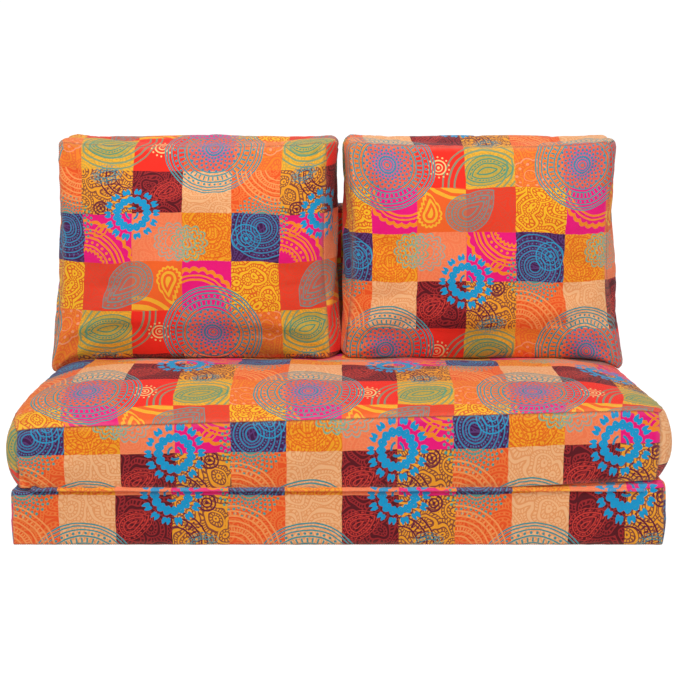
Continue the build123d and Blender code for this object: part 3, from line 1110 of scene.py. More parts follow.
@dataclass(frozen=True)
class PatchworkPrint:
    """The printed cloth: sixteen coloured patches with fine doodled lines, and ornaments that cross their edges."""

    # Ground and line colours of the patches, from the first column of the lowest row onwards
    grounds: tuple[str, ...] = (
        "F9BC86", "5A0816", "F7A424", "F4561C",
        "F8A61C", "FB7E4E", "F0057A", "430F48",
        "F0057A", "F66420", "EE3C1E", "FABE20",
        "F06A2A", "F82A18", "F8B02A", "F78626",
    )
    lines: tuple[str, ...] = (
        "EE9A5C", "A82428", "6A1638", "F7803A",
        "EE6A14", "FC8A5A", "F0057A", "5C3A78",
        "F0057A", "F66420", "E0482E", "DE3C18",
        "E4503C", "F82A18", "D2A23C", "F2642C",
    )
    unevenness: float = 0.05
    sway: float = 0.15
    doodle_cells: float = 2.1
    doodle_pitch: float = 0.064
    doodle_line: float = 0.34
    doodle_tick: float = 0.4
    doodle_ink: float = 0.85

    def motifs(self) -> tuple[tuple[Motif, str, float], ...]:
        """The ornaments, each with its colour and how solidly it is printed."""
        teal, blue, amber, plum, cyan = "3F969C", "3C86A8", "F98A1C", "6A1638", "0A9AD0"
        leaf_drop = {"turn": 0.5, "leaf": 0.45, "bend": -0.35, "drop": True}
        eye = {"turn": 0.25, "leaf": 0.25, "bend": 0.25, "patches": (14,)}
        return (
            (Motif("gold_rings", (0.38, 1.44), 0.52, 24,
                   ((0.24, 0.29), (0.38, 0.42), (0.64, 0.67), (0.72, 0.75), (0.95, 1.0)), (0.53, 0.85), 0.035,
                   patches=(4,)), "EA5C0E", 0.85),
            (Motif("stripes", (1.9, 3.6), 1.05, 30, ((0.60, 0.70), (0.78, 0.86)), patches=(9,)), "F9B52C", 0.95),
            (Motif("scroll", (1.26, 2.36), 0.24, 16, ((0.0, 0.20), (0.42, 0.64)), scallops=((0.86, 0.16, 0.10),),
                   turn=1.1, leaf=0.30, bend=-1.5, drop=True, patches=(9,)), "F9B52C", 1.0),
            (Motif("tail", (0.75, 3.05), 0.95, 30, ((0.68, 0.73), (0.78, 0.82)), scallops=((0.90, 0.05, 0.045),),
                   patches=(8,)), amber, 1.0),
            (Motif("arc", (2.95, 2.10), 1.0, 26, ((0.44, 0.48), (0.60, 0.65), (0.70, 0.74), (0.78, 0.81)),
                   (0.54,), 0.03, scallops=((0.92, 0.05, 0.035), (0.34, 0.05, 0.03)), patches=(6,)), amber, 1.0),
            (Motif("arc_leaf", (2.62, 1.32), 0.13, 12, ((0.0, 0.25), (0.6, 0.85)), turn=0.6, leaf=0.16,
                   patches=(6,)), amber, 1.0),
            (Motif("shawl", (2.00, 2.40), 0.42, 30, ((0.0, 1.0),), patches=(9, 10), **leaf_drop), "A8705E", 0.55),
            (Motif("eye_shade", (2.44, 3.42), 0.34, 24, ((0.0, 1.0),), **eye), "A8A04A", 0.6),
            (Motif("drop", (2.00, 2.40), 0.42, 26, fine(0.20, 0.42, 0.70, 0.98, half=0.032), (0.57, 0.84), 0.045,
                   patches=(9, 10, 14, 13), **leaf_drop), "4F9894", 0.85),
            (Motif("eye", (2.44, 3.42), 0.34, 24, fine(0.20, 0.46, 0.72, 0.98, half=0.04), (0.59,), 0.05, **eye),
             "3F9478", 0.95),
            (Motif("eye_brow", (2.30, 3.30), 0.66, 30, fine(0.62, 0.80, 0.98, half=0.03), turn=0.5, leaf=0.25,
                   patches=(13, 14)), "5A9C7C", 0.8),
            (Motif("sun", (1.46, 3.48), 0.23, 14, ((0.0, 0.13), (0.28, 0.38), (0.56, 0.68)), (0.92,), 0.085,
                   patches=(13,)), "F6CE88", 1.0),
            (Motif("blossoms", (3.30, 3.30), 0.42, 9, fine(0.30), (0.62,), 0.07, scallops=((0.80, 0.10, 0.03),),
                   patches=(15,)), "F7A884", 0.7),
            (Motif("mandala", (0.40, 3.50), 1.0, 44, fine(0.53, 0.60, 0.74, 0.86, 0.93, 0.985, half=0.014),
                   rays=((0.62, 0.71),), dots=(0.80,), dot_size=0.026), teal, 1.0),
            (Motif("mandala_haze", (0.40, 3.50), 0.52, 14, ((0.0, 1.0),)), "C8689A", 0.15),
            (Motif("mandala_rose", (0.40, 3.50), 0.30, 14, fine(0.55, 0.74, half=0.06), (0.38, 0.95), 0.10),
             "CC4A9C", 0.9),
            (Motif("mandala_heart", (0.40, 3.50), 0.52, 22, fine(0.10, 0.22, half=0.025), lattice=(0.13, 0.22, 1.0),
                   dot_size=0.052), blue, 1.0),
            (Motif("knot_left", (0.86, 1.64), 0.38, 11, fine(0.34, half=0.03), (0.52,), 0.07,
                   scallops=((0.60, 0.16, 0.045), (0.78, 0.20, 0.045), (0.28, 0.12, 0.04))), "6FB494", 0.9),
            (Motif("knot_right", (1.18, 1.60), 0.40, 12, fine(0.40, half=0.025), (0.55,), 0.06,
                   scallops=((0.62, 0.16, 0.04), (0.80, 0.18, 0.04))), "93AE9E", 0.85),
            (Motif("dotted_moon", (3.37, 1.14), 0.58, 26, lattice=(0.11, 0.10, 1.0), dot_size=0.045,
                   patches=(2, 3, 6)), "409E94", 0.95),
            (Motif("night_arcs", (3.38, 1.30), 0.66, 36, fine(0.17, 0.33, 0.49, 0.65, 0.81, 0.98, half=0.018),
                   (0.25, 0.41, 0.57, 0.73, 0.89), 0.02, patches=(7,)), "2C94C0", 0.85),
            (Motif("night_rings", (3.70, 1.52), 0.30, 14, ((0.0, 0.12), (0.30, 0.37), (0.56, 0.62), (0.92, 0.99)),
                   (0.77,), 0.05, patches=(7,)), "22A4D2", 0.9),
            (Motif("small_eye", (2.62, 0.86), 0.16, 10, ((0.0, 0.20), (0.42, 0.60), (0.82, 1.0)), patches=(2,)),
             plum, 1.0),
            (Motif("arches", (2.05, 0.12), 0.58, 26, ((0.48, 0.53), (0.76, 0.81), (0.95, 1.0)),
                   rays=((0.57, 0.74),), dots=(0.88,), dot_size=0.03, patches=(2,)), plum, 1.0),
            (Motif("bud", (2.50, 0.10), 0.20, 12, fine(0.35, 0.65, 1.0, half=0.05), (0.5, 0.82), 0.07, turn=0.3,
                   leaf=0.16), "3E8E98", 0.95),
            (Motif("ember_leaf", (1.25, 0.42), 0.26, 18, fine(0.15, 0.42, 0.7, 1.0, half=0.04), (0.56, 0.85), 0.05,
                   turn=0.7, leaf=0.3, bend=0.4, drop=True, patches=(1,)), "D23A30", 0.95),
            (Motif("fan", (3.05, -0.05), 0.95, 52, fine(0.3, 0.4, 0.5, 0.6, 0.7, 0.8, 0.9),
                   rays=((0.42, 0.48), (0.72, 0.78)), patches=(3,)), "FBA45C", 0.85),
            (Motif("leaf_ring", (2.0, 1.0), 0.56, 42, ((0.82, 0.90),),
                   scallops=((0.80, 0.14, 0.06), (0.84, -0.06, 0.04)), gaps=14), cyan, 1.0),
            (Motif("rope_ring", (2.0, 1.0), 0.56, 15, ((0.45, 0.57),),
                   scallops=((0.54, 0.09, 0.055), (0.47, -0.06, 0.04))), cyan, 1.0),
            (Motif("rope_heart", (2.0, 1.0), 0.56, 18, ((0.17, 0.25),), turn=0.5, gaps=3), "1689B6", 1.0),
        )

    def doodle(self, graph: Graph, place: Output) -> Output:
        """Hand-drawn rings with ticks between them, round scattered centres.

        Args:
            graph: Where the nodes go.
            place: The print's coordinates.

        Returns:
            A mask that is 1 on the lines.
        """
        cells = graph.node("ShaderNodeTexVoronoi", voronoi_dimensions="2D", feature="F1")
        graph.feeds(cells, Vector=place, Scale=self.doodle_cells)
        dx, dy, _ = graph.parts(graph.vectors("SUBTRACT", place, cells.outputs["Position"]))
        ring = dx.scaled(dx, dy * dy).math("SQRT") / self.doodle_pitch
        number = ring.math("FLOOR")
        line = ring.math("FRACT") < self.doodle_line
        turns = dy.math("ARCTAN2", dx) * (1 / (2 * math.pi))
        tick = ((turns + 1.0) * number.scaled(7.0, 5.0)).math("FRACT") < self.doodle_tick
        return line.math("MAXIMUM", tick * number.math("FLOORED_MODULO", 2.0))

    def group(self) -> bpy.types.NodeTree:
        """Build the print's node group.

        Returns:
            The group, with the cloth's coordinates in and the printed colour out.
        """
        graph, inputs, end = new_group("patchwork_print", {"Cloth": None}, {"Color": COLOUR})
        _, drift = graph.noise(inputs["Cloth"], 2.2, 2.0)
        reach = (self.unevenness, self.unevenness, 0.0)
        drifted = graph.vectors("MULTIPLY_ADD", drift, reach, inputs["Cloth"])
        place = graph.vectors("SUBTRACT", drifted, tuple(value / 2 for value in reach))
        u, v, _ = graph.parts(place)
        column, row = (axis.math("WRAP", REPEAT, 0.0).math("FLOOR") for axis in (u, v))
        patch = row.scaled(REPEAT, column)
        cell = (patch + 0.5) / REPEAT**2
        ground, inks = (
            graph.steps(cell, [(i / len(colours), linear(c)) for i, c in enumerate(colours)])
            for colours in (self.grounds, self.lines)
        )
        _, sway = graph.noise(place, 3.4, 0.0)
        swayed = graph.vectors("MULTIPLY_ADD", sway, (self.sway, self.sway, 0.0), place)
        colour = graph.mix(self.doodle(graph, swayed) * self.doodle_ink, ground, inks)
        for motif, ink, solid in self.motifs():
            marks = graph.use(motif.group(), Cloth=place, Patch=patch)["Lines"]
            colour = graph.mix(marks * solid, colour, linear(ink))
        graph.feed(end.inputs["Color"], colour)
        return graph.tree


def weave_group() -> bpy.types.NodeTree:
    """Plain weave: a thread height and a soft light and dark from thread to thread.

    Returns:
        The group, with coordinates and a thread count in, and a height and a shade out.
    """
    graph, inputs, end = new_group("plain_weave", {"Cloth": None, "Threads": 150.0}, {"Height": FLOAT, "Shade": FLOAT})
    u, v, _ = graph.parts(inputs["Cloth"])
    along, across = (axis * inputs["Threads"] for axis in (u, v))
    warp, weft = (abs((axis * math.pi).math("SINE")) for axis in (along, across))
    over = (along.math("FLOOR") + across.math("FLOOR")).math("FLOORED_MODULO", 2.0)
    height = warp * over + weft * graph.math("SUBTRACT", 1.0, over)
    slub, _ = graph.noise(graph.vector(u * 3.0, v * 40.0), 4.0, 3.0)
    graph.feed(end.inputs["Height"], height)
    graph.feed(end.inputs["Shade"], slub.scaled(0.5, height * 0.5))
    return graph.tree


def ditch_shade_and_wear_group() -> bpy.types.NodeTree:
    """At a seam: painted shade that darkens its ditch, rubbed edges and fine gathers.

    Returns:
        The group, with the distance from the seam in, and the painted ditch shade, a rub and a height out.
    """
    marks = {"Ditch": FLOAT, "Rub": FLOAT, "Gathers": FLOAT}
    graph, inputs, end = new_group("seam_wear", {"Distance": 0.05, "Cloth": None}, marks)
    ditch_width, rub_width, gather_length = 0.004, 0.012, 0.03
    near, edge, reach = (
        graph.math("SUBTRACT", 1.0, inputs["Distance"] / width, clamp=True)
        for width in (ditch_width, rub_width, gather_length)
    )
    rough, _ = graph.noise(inputs["Cloth"], 9.0, 4.0)
    gathers, _ = graph.noise(inputs["Cloth"], 5.0, 1.0)
    # painted shade, strongest on the seam line and gone a few millimetres away
    graph.feed(end.inputs["Ditch"], near * near)
    graph.feed(end.inputs["Rub"], edge * rough)
    graph.feed(end.inputs["Gathers"], gathers * reach)
    return graph.tree


def new_material(name: str) -> tuple[bpy.types.Material, Graph, bpy.types.Node]:
    """Start a material.

    Args:
        name: The material's name.

    Returns:
        The material, its graph and its Principled shader.
    """
    material = bpy.data.materials.new(name)
    material.use_nodes = True
    return material, Graph(material.node_tree), material.node_tree.nodes["Principled BSDF"]


@dataclass(frozen=True)
class PatchworkCloth:
    """Printed cotton with a plain weave, a soft fuzz, wear at the seams and painted shade in their ditches."""

    roughness: float = 0.86
    sheen: float = 0.12
    threads: float = 150.0
    # painted shade in the seams' ditches: its colour and how much of it is laid over the print
    painted_ditch_shade: str = "4A1414"
    painted_ditch_share: float = 0.35
    rubbed: str = "F7D9B8"
    rubbed_share: float = 0.16

    def build(self) -> bpy.types.Material:
        """Make the material."""
        material, graph, shader = new_material("patchwork_cotton")
        layer = graph.node("ShaderNodeUVMap", uv_map="cloth").outputs[0]
        printed = graph.use(PatchworkPrint().group(), Cloth=layer)
        weave = graph.use(weave_group(), Cloth=layer, Threads=self.threads)
        distance = graph.node("ShaderNodeAttribute", attribute_name="seam").outputs["Fac"]
        seam = graph.use(ditch_shade_and_wear_group(), Distance=distance, Cloth=layer)
        # painted shade where the threads dip under each other, mixed with the slub's uneven yarn tone
        shade = graph.steps(weave["Shade"], [(0.25, (0.86, 0.86, 0.86, 1.0)), (0.75, WHITE)], smoothly=True)
        colour = graph.mix(1.0, printed["Color"], shade, "MULTIPLY")
        # painted shade: the cloth's colour darkened in the seam's ditch, where shade falls
        colour = graph.mix(seam["Ditch"] * self.painted_ditch_share, colour, linear(self.painted_ditch_shade))
        colour = graph.mix(seam["Rub"] * self.rubbed_share, colour, linear(self.rubbed))
        threads = graph.bump(weave["Height"], 0.35, 0.0003)
        graph.feeds(
            shader, Base_Color=colour, Roughness=weave["Shade"].scaled(-0.12, self.roughness),
            Sheen_Weight=self.sheen, Sheen_Roughness=0.45, Specular_IOR_Level=0.25,
            Normal=graph.bump(seam["Gathers"], 0.5, 0.004, threads),
        )
        return material


@dataclass(frozen=True)
class ZipTape:
    """Woven tape with a plastic coil along its middle line."""

    tape: str = "A02A22"
    rib: str = "B8443A"
    selvedge: str = "5E0F10"
    coil: str = "B0322A"
    ribs_per_metre: float = 900.0
    coil_half: float = 0.0026
    woven_half: float = 0.0105

    def build(self, name: str, origin: Vector, along: Vector, normal: Vector) -> bpy.types.Material:
        """Make the material of one zip.

        Args:
            name: The zip's name.
            origin: The zip's middle.
            along: Its run.
            normal: The way out of the cover.

        Returns:
            The material.
        """
        material, graph, shader = new_material(f"{name}_tape")
        own_axes = Matrix((along, normal.cross(along).normalized(), normal))
        mapping = graph.node("ShaderNodeMapping", vector_type="POINT")
        graph.feeds(mapping, Vector=graph.place(), Location=-(own_axes @ origin), Rotation=own_axes.to_euler())
        run, side, _ = graph.parts(mapping.outputs[0])
        offset = abs(side)
        slant = run * self.ribs_per_metre + offset * self.ribs_per_metre
        rib = abs((slant * math.pi).math("SINE"))
        middle = offset < self.coil_half
        colour = graph.mix(rib * 0.35, linear(self.tape), linear(self.rib))
        colour = graph.mix((offset > self.woven_half) * 0.4, colour, linear(self.selvedge))
        colour = graph.mix(middle, colour, linear(self.coil))
        ribbed = graph.bump(rib, 0.4, 0.0001)
        graph.feeds(shader, Base_Color=colour, Roughness=middle.scaled(-0.45, 0.85), Normal=ribbed)
        return material


@dataclass(frozen=True)
class CastMetal:
    """Die-cast zinc alloy, plated and a little rubbed."""

    bright: str = "B9B9BC"
    dull: str = "8E8E92"
    roughness: float = 0.24

    def build(self) -> bpy.types.Material:
        """Make the material."""
        material, graph, shader = new_material("plated_metal")
        grain, _ = graph.noise(graph.place(), 700.0, 4.0, flat=False)
        graph.feeds(
            shader, Base_Color=graph.mix(grain, linear(self.dull), linear(self.bright)), Metallic=1.0,
            Roughness=grain.scaled(0.22, self.roughness), Normal=graph.bump(grain, 0.15, 0.0001),
        )
        return material


@dataclass(frozen=True)
class Thread:
    """Twisted sewing thread."""

    colour: str = "D8602C"
    shadow: str = "93381C"

    def build(self) -> bpy.types.Material:
        """Make the material."""
        material, graph, shader = new_material("sewing_thread")
        wave = graph.node("ShaderNodeTexWave", wave_type="BANDS", bands_direction="DIAGONAL")
        graph.feeds(wave, Vector=graph.place(), Scale=900.0)
        twist = Output(graph, wave.outputs["Fac"])
        colour = graph.mix(twist, linear(self.shadow), linear(self.colour))
        graph.feeds(shader, Base_Color=colour, Roughness=twist.scaled(-0.2, 0.75))
        return material


@dataclass(frozen=True)
class CoilPlastic:
    """Polyester coil of a zip."""

    colour: str = "B33028"
    shadow: str = "861C18"

    def build(self) -> bpy.types.Material:
        """Make the material."""
        material, graph, shader = new_material("coil_plastic")
        mottle, _ = graph.noise(graph.place(), 300.0, flat=False)
        colour = graph.mix(mottle, linear(self.shadow), linear(self.colour))
        graph.feeds(shader, Base_Color=colour, Roughness=mottle.scaled(0.2, 0.32))
        return material


class Row(Enum):
    """What a row along a seam or a zip is made of."""

    STITCH = "stitch"
    TOOTH = "tooth"


@dataclass(frozen=True)
class RepeatedRow:
    """Small pieces set along lines by Geometry Nodes: stitches along a seam, or a zip's coil."""

    kind: Row
    spacing: float
    length: float
    thickness: float
    lies_across: bool = False

    def tree(self, material: bpy.types.Material) -> bpy.types.NodeTree:
        """Build the row's Geometry Nodes tree.

        Args:
            material: What the small pieces are made of.

        Returns:
            The tree.
        """
        tree = bpy.data.node_groups.new(f"{self.kind.value}_row", "GeometryNodeTree")
        tree.interface.new_socket("Geometry", in_out="INPUT", socket_type="NodeSocketGeometry")
        for name in ("Spacing", "Length", "Thickness"):
            tree.interface.new_socket(name, in_out="INPUT", socket_type=FLOAT)
        tree.interface.new_socket("Geometry", in_out="OUTPUT", socket_type="NodeSocketGeometry")
        graph = Graph(tree)
        source, end = graph.node("NodeGroupInput"), graph.node("NodeGroupOutput")
        spacing, length, thickness = (source.outputs[name] for name in ("Spacing", "Length", "Thickness"))
        points = graph.node("GeometryNodeCurveToPoints", mode="LENGTH")
        graph.feeds(points, Curve=source.outputs["Geometry"], Length=spacing)
        bead = graph.node("GeometryNodeMeshUVSphere")
        graph.feeds(bead, Segments=6, Rings=4, Radius=0.5)
        rounded = graph.node("GeometryNodeSetShadeSmooth")
        graph.feeds(rounded, Geometry=bead.outputs["Mesh"])
        sizes = (thickness, length, thickness) if self.lies_across else (thickness, thickness, length)
        placed = graph.node("GeometryNodeInstanceOnPoints")
        graph.feeds(
            placed, Points=points.outputs["Points"], Instance=rounded.outputs["Geometry"],
            Rotation=points.outputs["Rotation"], Scale=graph.vector(*sizes),
        )
        real = graph.node("GeometryNodeRealizeInstances")
        graph.feeds(real, Geometry=placed.outputs["Instances"])
        painted = graph.node("GeometryNodeSetMaterial")
        graph.feeds(painted, Geometry=real.outputs["Geometry"], Material=material)
        graph.feeds(end, Geometry=painted.outputs["Geometry"])
        return tree

    def build(
        self, name: str, loops: list[list[Vector]], closed: bool, material: bpy.types.Material
    ) -> bpy.types.Object:
        """Set the row along its lines.

        Args:
            name: The new piece's name.
            loops: The lines' points.
            closed: Whether each line comes back to its start.
            material: What the small pieces are made of.

        Returns:
            A plain mesh object.
        """
        curve = bpy.data.curves.new(f"{name}_line", "CURVE")
        curve.dimensions = "3D"
        for loop in loops:
            spline = curve.splines.new("POLY")
            spline.points.add(len(loop) - 1)
            spline.points.foreach_set("co", [value for point in loop for value in (*point, 1.0)])
            spline.use_cyclic_u = closed
        guide = new_piece(f"{name}_line", curve)
        tree = self.tree(material)
        modifier = guide.modifiers.new(self.kind.value, "NODES")
        modifier.node_group = tree
        values = {"Spacing": self.spacing, "Length": self.length, "Thickness": self.thickness}
        for item in tree.interface.items_tree:
            if item.in_out == "INPUT" and item.name in values:
                modifier[item.identifier] = values[item.name]
        graph = bpy.context.evaluated_depsgraph_get()
        graph.update()
        mesh = bpy.data.meshes.new_from_object(guide.evaluated_get(graph))
        mesh.name = name
        bpy.data.objects.remove(guide)
        LOG.info("%s: %d faces", name, len(mesh.polygons))
        return new_piece(name, mesh)


@dataclass(frozen=True)
class Zip:
    """One zip: its woven tape, the coil's teeth, and the cast slider and pull tab of the frame."""

    unit: str
    coil: RepeatedRow = RepeatedRow(Row.TOOTH, 0.0014, 0.0026, 0.0009, lies_across=True)
    end_margin: float = 0.006
    coil_depth: float = 0.00035
    coil_side: float = 0.0010

    def dress(self, metal: bpy.types.Material, plastic: bpy.types.Material) -> None:
        """Give the frame's zip pieces their finishes and set the coil's teeth.

        Args:
            metal: The slider's and pull tab's finish.
            plastic: The coil's finish.
        """
        name = f"{self.unit}_zip"
        along, across = (Vector(JOINTS[f"{name}_{way}"]["axis"]).normalized() for way in ("slide", "pull_swing"))
        normal = along.cross(across)
        zip_node = FRAME["nodes"][name]
        reaches = [[vertex.co.dot(way) for vertex in zip_node.data.vertices] for way in (along, across, normal)]
        (start, end), (low, high), (_, crest) = [(min(reach), max(reach)) for reach in reaches]
        origin = along * (start + end) / 2 + across * (low + high) / 2 + normal * crest
        assign(zip_node, ZipTape().build(name, origin, along, normal))
        for part in ("slider", "pull"):
            assign(FRAME["nodes"][f"{name}_{part}"], metal)
        half = (end - start) / 2 - self.end_margin
        rails = []
        for side, shift in ((self.coil_side, 0.0), (-self.coil_side, self.coil.spacing / 2)):
            first = origin - normal * self.coil_depth + across * side - along * (half - shift)
            rails.append([first, first + along * (2 * half)])
        teeth = self.coil.build(f"{name}_coil", rails, False, plastic)
        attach(teeth, zip_node["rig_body"])


def assign(node: bpy.types.Object, material: bpy.types.Material) -> None:
    """Give a piece of the frame its finish."""
    node.data.materials.clear()
    node.data.materials.append(material)


@dataclass
class ClothHinge:
    """A strip of cloth shaped along a profile in the gap between two sections."""

    name: str
    bodies: tuple[str, str]
    replaced: str
    profile: list[tuple[float, float]]
    start: tuple[float, float, float]
    end: tuple[float, float, float]
    print_u: float = 0.0
    unfolding: float = 1.0
    width: float = 1.12
    thickness: float = 0.0012
    columns: int = 141
    unevenness: float = 0.0004
    seam_distance: float = 0.004

    def build(self, cloth: bpy.types.Material) -> bpy.types.Object:
        """Make the strip along its profile, with its own print place.

        Args:
            cloth: The strip's cloth.

        Returns:
            The finished object.
        """
        line = np.array(self.profile)
        steps = np.linalg.norm(np.diff(line, axis=0), axis=1)
        run = np.concatenate([[0.0], np.cumsum(steps)])
        way = np.gradient(line, axis=0)
        normal = np.stack([-way[:, 1], way[:, 0]], -1)
        normal /= np.linalg.norm(normal, axis=1, keepdims=True)
        across = np.linspace(-self.width / 2, self.width / 2, self.columns)
        layers = [line + normal * self.thickness / 2, line - normal * self.thickness / 2]
        section = np.concatenate([layers[0], layers[1][::-1]])
        lengths = np.concatenate([run, run[::-1]])
        count = len(section)
        wave = self.unevenness * ripple(across, across * 0.0, 0.05, 5)
        points = [(x, y, z + lift) for x, lift in zip(across, wave) for y, z in section]
        faces, coords = [], []
        for i in range(len(across) - 1):
            for k in range(count):
                corners = ((i, k), (i + 1, k), (i + 1, (k + 1) % count), (i, (k + 1) % count))
                faces.append([c * count + r for c, r in corners])
                for c, r in corners:
                    coords += [self.print_u + across[c] / TILE, lengths[r] * self.unfolding / TILE + 1.0]
        last = (len(across) - 1) * count
        for k in range(count // 2 - 1):
            for base, order in ((0, 1), (last, -1)):
                faces.append([base + k, base + k + 1, base + count - 2 - k, base + count - 1 - k][::order])
                coords += [0.1, 0.1] * 4
        strip = cloth_piece(self.name, points, faces, np.array(coords), np.full(len(points), self.seam_distance))
        strip.data.materials.append(cloth)
        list(self.bodies)
        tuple(self.start)
        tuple(self.end)
        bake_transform(strip)
        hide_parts(self.replaced)
        return strip


@dataclass(frozen=True)
class Lamp:
    """A square soft light, turned to a point over the middle of the floor."""

    name: str
    place: tuple[float, float, float]
    aim_height: float
    size: float
    power: float

    def build(self) -> None:
        """Hang it."""
        light = bpy.data.lights.new(self.name, "AREA")
        light.shape, light.size, light.energy = "SQUARE", self.size, self.power
        lamp = new_piece(self.name, light)
        lamp.location = self.place
        way = Vector((0.0, 0.0, self.aim_height)) - Vector(self.place)
        lamp.rotation_euler = way.to_track_quat("-Z", "Y").to_euler()


@dataclass(frozen=True)
class Studio:
    """Pale floor, soft light and the camera of the photograph."""

    camera_place: tuple[float, float, float] = (0.004, FRONT_Y - 1.756, 0.760)
    pitch_degrees: float = 8.89
    lens: float = 53.15
    shift_y: float = -0.08
    lamps: tuple[Lamp, ...] = (
        Lamp("key", (-0.6, -1.7, 3.0), 0.2, 2.2, 64.0),
        Lamp("fill", (1.9, -1.9, 1.5), 0.3, 2.0, 15.0),
        Lamp("rim", (0.3, 2.2, 2.4), 0.4, 2.0, 16.0),
    )
    paper_glow: float = 1.25
    paper_share: float = 0.75
    air_light: float = 0.48
    air_seen: float = 0.55
    floor_reach: float = 16.0
    bend_start: float = 2.2
    bend_radius: float = 1.6
    wall_height: float = 6.0

    def floor(self) -> None:
        """A wide floor that curves up far behind the object."""
        reach, start, radius = self.floor_reach, self.bend_start, self.bend_radius
        turns = np.linspace(0.1, math.pi / 2, 14)
        profile = [(-reach, 0.0), (start, 0.0)]
        profile += [(start + radius * math.sin(t), radius - radius * math.cos(t)) for t in turns]
        profile.append((start + radius, self.wall_height))
        points = [(x, y, z - 0.0002) for y, z in profile for x in (-reach, reach)]
        faces = [(2 * i, 2 * i + 1, 2 * i + 3, 2 * i + 2) for i in range(len(profile) - 1)]
        mesh = bpy.data.meshes.new("studio_floor")
        mesh.from_pydata(points, [], faces)
        mesh.shade_smooth()
        material, graph, shader = new_material("studio_paper")
        graph.feeds(shader, Base_Color=(0.72, 0.72, 0.72, 1.0), Roughness=0.9, Specular_IOR_Level=0.1)
        glow = graph.node("ShaderNodeEmission")
        graph.feeds(glow, Strength=self.paper_glow)
        seen = graph.node("ShaderNodeLightPath").outputs["Is Camera Ray"]
        share = graph.math("MULTIPLY", seen, self.paper_share)
        paper = graph.result("ShaderNodeMixShader", share, shader.outputs[0], glow.outputs[0])
        graph.feeds(material.node_tree.nodes["Material Output"], Surface=paper)
        mesh.materials.append(material)
        floor = new_piece("studio_floor", mesh)

    def air(self) -> bpy.types.World:
        """A white world that lights the object less than the camera sees of it."""
        world = bpy.data.worlds.new("studio_air")
        world.use_nodes = True
        graph = Graph(world.node_tree)
        seen = graph.node("ShaderNodeLightPath").outputs["Is Camera Ray"]
        strength = graph.math("MULTIPLY_ADD", seen, self.air_seen, self.air_light)
        graph.feeds(world.node_tree.nodes["Background"], Color=WHITE, Strength=strength)
        return world

    def build(self) -> None:
        """Set up floor, lights, world and camera."""
        self.floor()
        for lamp in self.lamps:
            lamp.build()
        scene = bpy.context.scene
        scene.world = self.air()
        scene.view_settings.view_transform = "Standard"
        data = bpy.data.cameras.new("camera")
        data.lens, data.sensor_width, data.shift_y = self.lens, 36.0, self.shift_y
        camera = new_piece("camera", data)
        camera.location = self.camera_place
        camera.rotation_euler = (math.radians(90 - self.pitch_degrees), 0.0, 0.0)
        scene.camera = camera


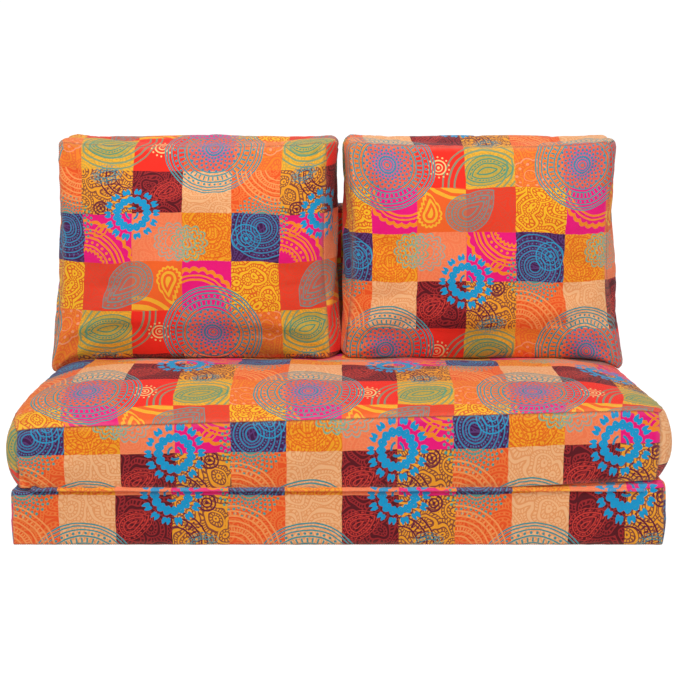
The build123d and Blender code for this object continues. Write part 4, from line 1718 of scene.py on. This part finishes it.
@dataclass(frozen=True)
class SofaBed:
    """The whole object: three sections, two pillows, and the seams and zips that join and close them."""

    cloth: bpy.types.Material
    metal: bpy.types.Material
    print_u: float = 1.0 - 0.0077 / TILE
    bridge_pleats: float = 0.008

    def base(self) -> FoamSlab:
        """The flat section on the floor."""
        centre_v = 1.0 + (SLAB - BASE_PATCH_Z) / TILE + SECTION / 2 / TILE
        return FoamSlab(
            "base_cushion", "base",
            ("base_foam_core", "base_bottom_panel", "base_boxing", "base_top_panel"), 1.0, 11,
            {Side.MAIN: PrintPlace(self.print_u, centre_v), Side.BACK: PrintPlace(0.4, 0.2)},
            BoxGrid(HALF_WIDTH, SECTION / 2, SLAB),
            centre=(0.0, (FRONT_Y + REAR_Y) / 2, SLAB / 2), low_radius=0.003,
        )

    def backrest(self) -> FoamSlab:
        """The section that stands behind."""
        return FoamSlab(
            "backrest_cushion", "backrest",
            ("backrest_foam_core", "backrest_rear_panel", "backrest_boxing", "backrest_front_panel"), 1.0, 23,
            {Side.MAIN: PrintPlace(self.print_u + 1.0, 1.35), Side.BACK: PrintPlace(0.3, 1.2)},
            BoxGrid(HALF_WIDTH, SECTION / 2, SLAB),
            centre=(0.0, BACKREST_FRONT_Y + SLAB / 2, SECTION / 2), standing=True,
        )

    def seat(self) -> CrownedSeat:
        """The crowned section that is sat on."""
        half = SECTION / 2
        strip_v = 1.0 + (SEAT_LOW + SEAT_BOXING - SEAT_PATCH_Z) / TILE + half / TILE
        prints = {
            Side.MAIN: PrintPlace(self.print_u, 2.60 + half / TILE, slant=0.028),
            Side.BACK: PrintPlace(0.7, 0.6),
            Side.LOW: PrintPlace(self.print_u, strip_v),
            Side.LEFT: PrintPlace(self.print_u - 0.3, strip_v + 2.0),
            Side.RIGHT: PrintPlace(self.print_u + 1.35, strip_v - 1.0),
        }
        return CrownedSeat(
            "seat_cushion", "seat",
            ("seat_foam_core", "seat_crown_wadding", "seat_bottom_panel", "seat_boxing", "seat_top_panel"), 0.8, 37,
            prints, BoxGrid(HALF_WIDTH, half, SEAT_BOXING),
        )

    def pillow(
        self, unit: str, seat: CrownedSeat, seed: int, main: PrintPlace, left_out: float, right_out: float
    ) -> BoxPillow:
        """One loose pillow.

        Args:
            unit: Its name in the frame.
            seat: What it settles into.
            seed: Which pattern of folds it has.
            main: Where the print lies on its front.
            left_out: How far its left side swells.
            right_out: How far its right side swells.

        Returns:
            The pillow.
        """
        low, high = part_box(f"{unit}_boxing")
        half_height, thickness = 0.24, 0.14
        return BoxPillow(
            f"{unit}_cushion", unit,
            (f"{unit}_fill", f"{unit}_back_panel", f"{unit}_boxing", f"{unit}_front_panel"), 0.6, seed,
            {Side.MAIN: main, Side.BACK: PrintPlace(0.8, 2.3)},
            BoxGrid((high.x - low.x) / 2, half_height, thickness),
            pressure=4.0, seat=seat, centre_x=(low.x + high.x) / 2, left_out=left_out, right_out=right_out,
        )

    def build(self) -> None:
        """Make every piece and dress the zips."""
        seat = self.seat()
        left_print, right_print = PrintPlace(0.756, 1.80, True, 1.045), PrintPlace(2.32, 1.61, False, 1.049)
        cushions = (
            self.base(), self.backrest(), seat,
            self.pillow("pillow_left", seat, 53, left_print, 0.020, 0.012),
            self.pillow("pillow_right", seat, 71, right_print, 0.0, 0.017),
        )
        sewn = RepeatedRow(Row.STITCH, 0.0042, 0.0028, 0.0008)
        plastic, thread = CoilPlastic().build(), Thread().build()
        for cushion in cushions:
            cover = cushion.dress(self.cloth)
            stitches = sewn.build(f"{cushion.body}_seam_stitches", cushion.seam_loops(cover), True, thread)
            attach(stitches, cushion.body)
        for unit in ("base", "seat", "backrest", "pillow_left", "pillow_right"):
            Zip(unit).dress(self.metal, plastic)
        self.front_hinge().build(self.cloth)
        self.rear_bridge().build(self.cloth)

    def front_hinge(self) -> ClothHinge:
        """The folded cloth at the front crease."""
        axis = JOINTS["seat_unfold"]["pos_m"]
        tip_y, tip_z = axis[1] + 0.001, axis[2]
        radius, run, near, far, fixed = 0.0016, 0.004, 0.0030, 0.0052, 0.0012
        turn = [(tip_y - radius * math.cos(t), tip_z + radius * math.sin(t)) for t in np.linspace(-1.3, 1.3, 9)]
        low = [(FRONT_Y + run, tip_z - far), (FRONT_Y, tip_z - near)]
        high = [(FRONT_Y, tip_z + near), (FRONT_Y + run, tip_z + far)]
        return ClothHinge(
            "front_hinge_strip", ("base", "seat"), "front_hinge_seam", low + turn + high,
            (0.0, tip_y, tip_z - fixed), (0.0, tip_y, tip_z + fixed), self.print_u,
        )

    def rear_bridge(self) -> ClothHinge:
        """The pleated cloth between base and backrest."""
        middle_z = (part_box("rear_bridge")[0].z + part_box("rear_bridge")[1].z) / 2
        start, end, lap = REAR_Y, BACKREST_FRONT_Y, 0.001
        shares, length = np.linspace(0, 1, 65), end - start + 2 * lap
        rise = [self.bridge_pleats * math.sin(share * 4 * math.pi) for share in shares]
        pleats = [(start - lap + length * share, middle_z + up) for share, up in zip(shares, rise)]
        return ClothHinge(
            "rear_bridge_strip", ("base", "backrest"), "rear_bridge", pleats,
            (0.0, start + lap, middle_z), (0.0, end - lap, middle_z), self.print_u, 2.0,
        )


def main() -> None:
    """Build the object and its studio."""
    logging.basicConfig(level=logging.INFO, format="%(message)s")
    SofaBed(PatchworkCloth().build(), CastMetal().build()).build()
    Studio().build()
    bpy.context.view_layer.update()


if __name__ == "__main__":
    main()
